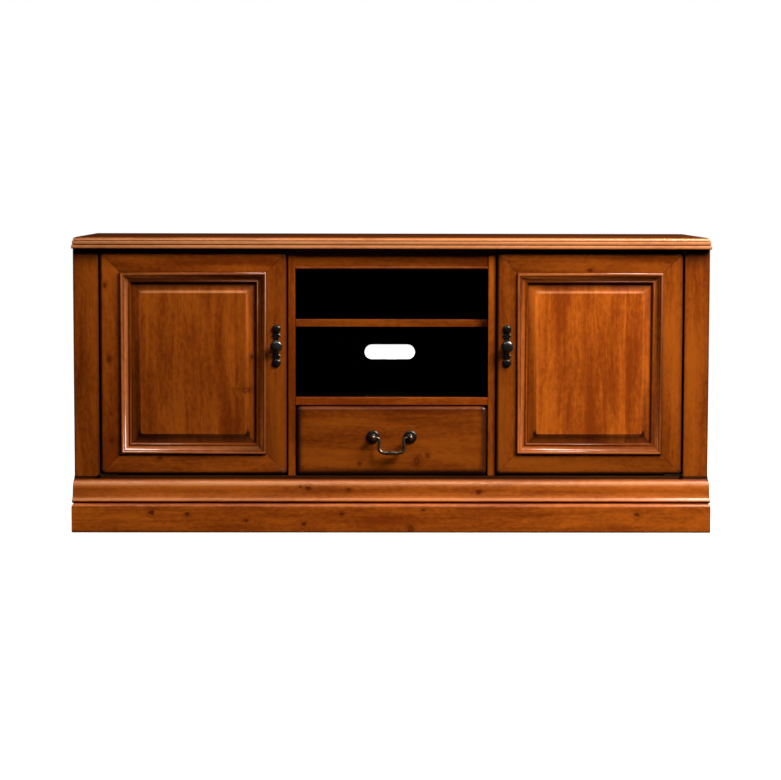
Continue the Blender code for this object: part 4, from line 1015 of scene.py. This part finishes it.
for side, word in SIDES:
    door = f"{word}_door"
    for member, finish in (
            ("bottom_rail", FRAME_LEVEL_PINE), ("top_rail", FRAME_LEVEL_PINE),
            ("hinge_stile", FRAME_UPRIGHT_PINE), ("lock_stile", FRAME_UPRIGHT_PINE)):
        finished_copy(f"{door}_{member}", finish, door, "stained_pine", mitred=True)
    finished_copy(f"{door}_panel", PANEL_PINE, door, "stained_pine")
    finished_copy(f"{word}_panel_moulding", MOULDING_PINE, door, "stained_pine")
    relieve_plate(finished_copy(f"{word}_knob_plate", KNOB_BRONZE, door, "dark_bronze"))
    finished_copy(f"{word}_knob", KNOB_BRONZE, door, "dark_bronze")
    for place, height in zip(("lower", "upper"), FINIAL_HEIGHTS):
        finial = button(f"{word}_{place}_finial", (side * KNOB_MIDDLE, PLATE_FRONT, height),
                        FINIAL_RINGS, FRONTWARDS)
        dress(finial, KNOB_BRONZE, door, "dark_bronze")
    across, back, up = STRIKE_MIDDLE
    strike = strike_plate(f"{word}_strike_plate", (side * across, back, up))
    dress(strike, STEEL, door, "hinge_brass")
    screw_place = (side * across - STRIKE_SCREW_OFFSET, back + STRIKE_THICKNESS, up)
    screw = button(f"{word}_strike_screw_1", screw_place, STRIKE_SCREW_RINGS, BACKWARDS)
    dress(screw, STEEL, door, "hinge_brass")
    second = moved_copy(screw, f"{word}_strike_screw_2", (2 * STRIKE_SCREW_OFFSET, 0, 0))
    dress(second, STEEL, door, "hinge_brass")
    finished_copy(f"{word}_pull_post", PULL_BRONZE, "drawer", "dark_bronze")
finished_copy("drawer_front", DRAWER_PINE, "drawer", "stained_pine")
finished_copy("drawer_bail", PULL_BRONZE, "bail", "dark_bronze")

for node_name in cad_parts:
    if "hinge_case_leaf" in node_name or "hinge_door_leaf" in node_name:
        refinish(node_name, HINGE_BRASS)
    elif "door_catch" in node_name:
        refinish(node_name, CATCH_BROWN)
for finish, node_names in (
        (INNER_PINE, ("bottom_panel", "front_bottom_rail", "plinth_rear", "left_stop_rail",
                      "right_stop_rail", "left_cupboard_shelf", "right_cupboard_shelf")),
        (BACK_BOARD, ("back_panel",)),
        (BOX_PINE, ("drawer_left_side", "drawer_right_side", "left_drawer_runner",
                    "right_drawer_runner")),
        (BOX_CROSS_PINE, ("drawer_back", "drawer_bottom"))):
    for node_name in node_names:
        refinish(node_name, finish)

back_low, back_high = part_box("back_panel")
screw_span = back_high[0] - back_low[0] - 2 * SCREW_INSET
screw_xs = [back_low[0] + SCREW_INSET + share * screw_span for share in SCREW_SHARES]
screw_zs = (back_low[2] + SCREW_INSET, back_high[2] - SCREW_INSET)
(first_x, first_z), *other_places = [(x, z) for z in screw_zs for x in screw_xs]
first_screw = button("back_screw_1", (first_x, back_high[1], first_z), SCREW_RINGS, BACKWARDS)
dress(first_screw, STEEL, "carcass", "hinge_brass")
for count, (x, z) in enumerate(other_places, 2):
    screw = moved_copy(first_screw, f"back_screw_{count}", (x - first_x, 0, z - first_z))
    dress(screw, STEEL, "carcass", "hinge_brass")

# Floor, light and camera, in metres, watts, radians and millimetres of lens
WHITE = (1, 1, 1, 1)
FLOOR_HALF = 12.0
FLOOR_GREY = (0.86, 0.86, 0.86, 1)
FLOOR_PALE = (0.90, 0.90, 0.90, 1)
FLOOR_CLOUDS = (1.2,) * 3
FLOOR_ROUGHNESS = 0.9
FLOOR_GLOW = 1.0
ROOM_FILL = (0.004, 0.004, 0.004, 1)
SENSOR_WIDTH = 36.0
LENS_LENGTH = 113.83
CAMERA_PLACE = (-0.0635, -6.0102, 0.8121)
CAMERA_TURN = -0.0105
CAMERA_DIP = 0.082
CAMERA_ROLL = 0.002

# Each light's place, aim, width, height and watts
SOFTBOXES = {
    "key_right": ((1.8, -1.38, 2.4), (0.1, -0.2, 0.35), 1.4, 1.4, 128),
    "overhead": ((0.1, -0.75, 2.4), (0.05, -0.2, 0.4), 2.4, 0.3, 3),
    "strip": ((0.0, -1.7, 2.0), (0.0, -0.2, 0.35), 2.6, 0.12, 8),
    "left_side": ((-2.6, 0.5, 0.30), (-0.7, 0.0, 0.35), 0.8, 0.55, 9),
    "right_side": ((2.6, 0.5, 0.30), (0.7, 0.0, 0.35), 0.8, 0.55, 9),
    "back": ((0.0, 3.0, 0.32), (0.0, 0.2, 0.35), 1.0, 0.55, 22)}


def make_floor():
    """A pale plain floor that throws no light back up."""
    deselect()
    bpy.ops.mesh.primitive_plane_add(size=2 * FLOOR_HALF, location=(0, 0, 0))
    floor = bpy.context.active_object
    floor.name = "studio_floor"
    material, tree, shader = new_material("pale_floor")
    clouds = stretched_noise(tree, object_place(tree), FLOOR_CLOUDS)
    wire(tree, shader, {"Base Color": mix_colour(tree, clouds, FLOOR_GREY, FLOOR_PALE)})
    shader.inputs["Roughness"].default_value = FLOOR_ROUGHNESS
    shader.inputs["Emission Color"].default_value = WHITE
    shader.inputs["Emission Strength"].default_value = FLOOR_GLOW
    floor.data.materials.append(material)
    floor.visible_diffuse = False
    floor.visible_glossy = False


def make_world():
    """White to the eye, a dim even fill for the object."""
    world = bpy.data.worlds.new("studio")
    bpy.context.scene.world = world
    world.use_nodes = True
    tree = world.node_tree
    seen = add_node(tree, "ShaderNodeLightPath").outputs["Is Camera Ray"]
    wire(tree, tree.nodes["Background"], {"Color": mix_colour(tree, seen, ROOM_FILL, WHITE)})


def softbox(name, place, aim, width, height, watts):
    """A rectangular studio light that looks at a point."""
    lamp = bpy.data.lights.new(name, "AREA")
    lamp.shape = "RECTANGLE"
    lamp.size = width
    lamp.size_y = height
    lamp.energy = watts
    light = bpy.data.objects.new(name, lamp)
    bpy.context.scene.collection.objects.link(light)
    light.visible_camera = False
    light.location = place
    light.rotation_euler = (Vector(aim) - Vector(place)).to_track_quat("-Z", "Y").to_euler()


def make_camera():
    """A long lens at a little over the console's height, almost square to its front."""
    lens = bpy.data.cameras.new("front_view")
    lens.sensor_fit = "HORIZONTAL"
    lens.sensor_width = SENSOR_WIDTH
    lens.lens = LENS_LENGTH
    camera = bpy.data.objects.new("front_view", lens)
    bpy.context.scene.collection.objects.link(camera)
    turn = Matrix.Rotation(CAMERA_TURN, 4, "Z") @ Matrix.Rotation(QUARTER_TURN - CAMERA_DIP, 4, "X")
    turn = turn @ Matrix.Rotation(CAMERA_ROLL, 4, "Z")
    camera.matrix_world = Matrix.Translation(CAMERA_PLACE) @ turn
    bpy.context.scene.camera = camera


make_floor()
make_world()
for lamp_name, settings in SOFTBOXES.items():
    softbox(lamp_name, *settings)
make_camera()
bpy.context.scene.view_settings.view_transform = "Standard"
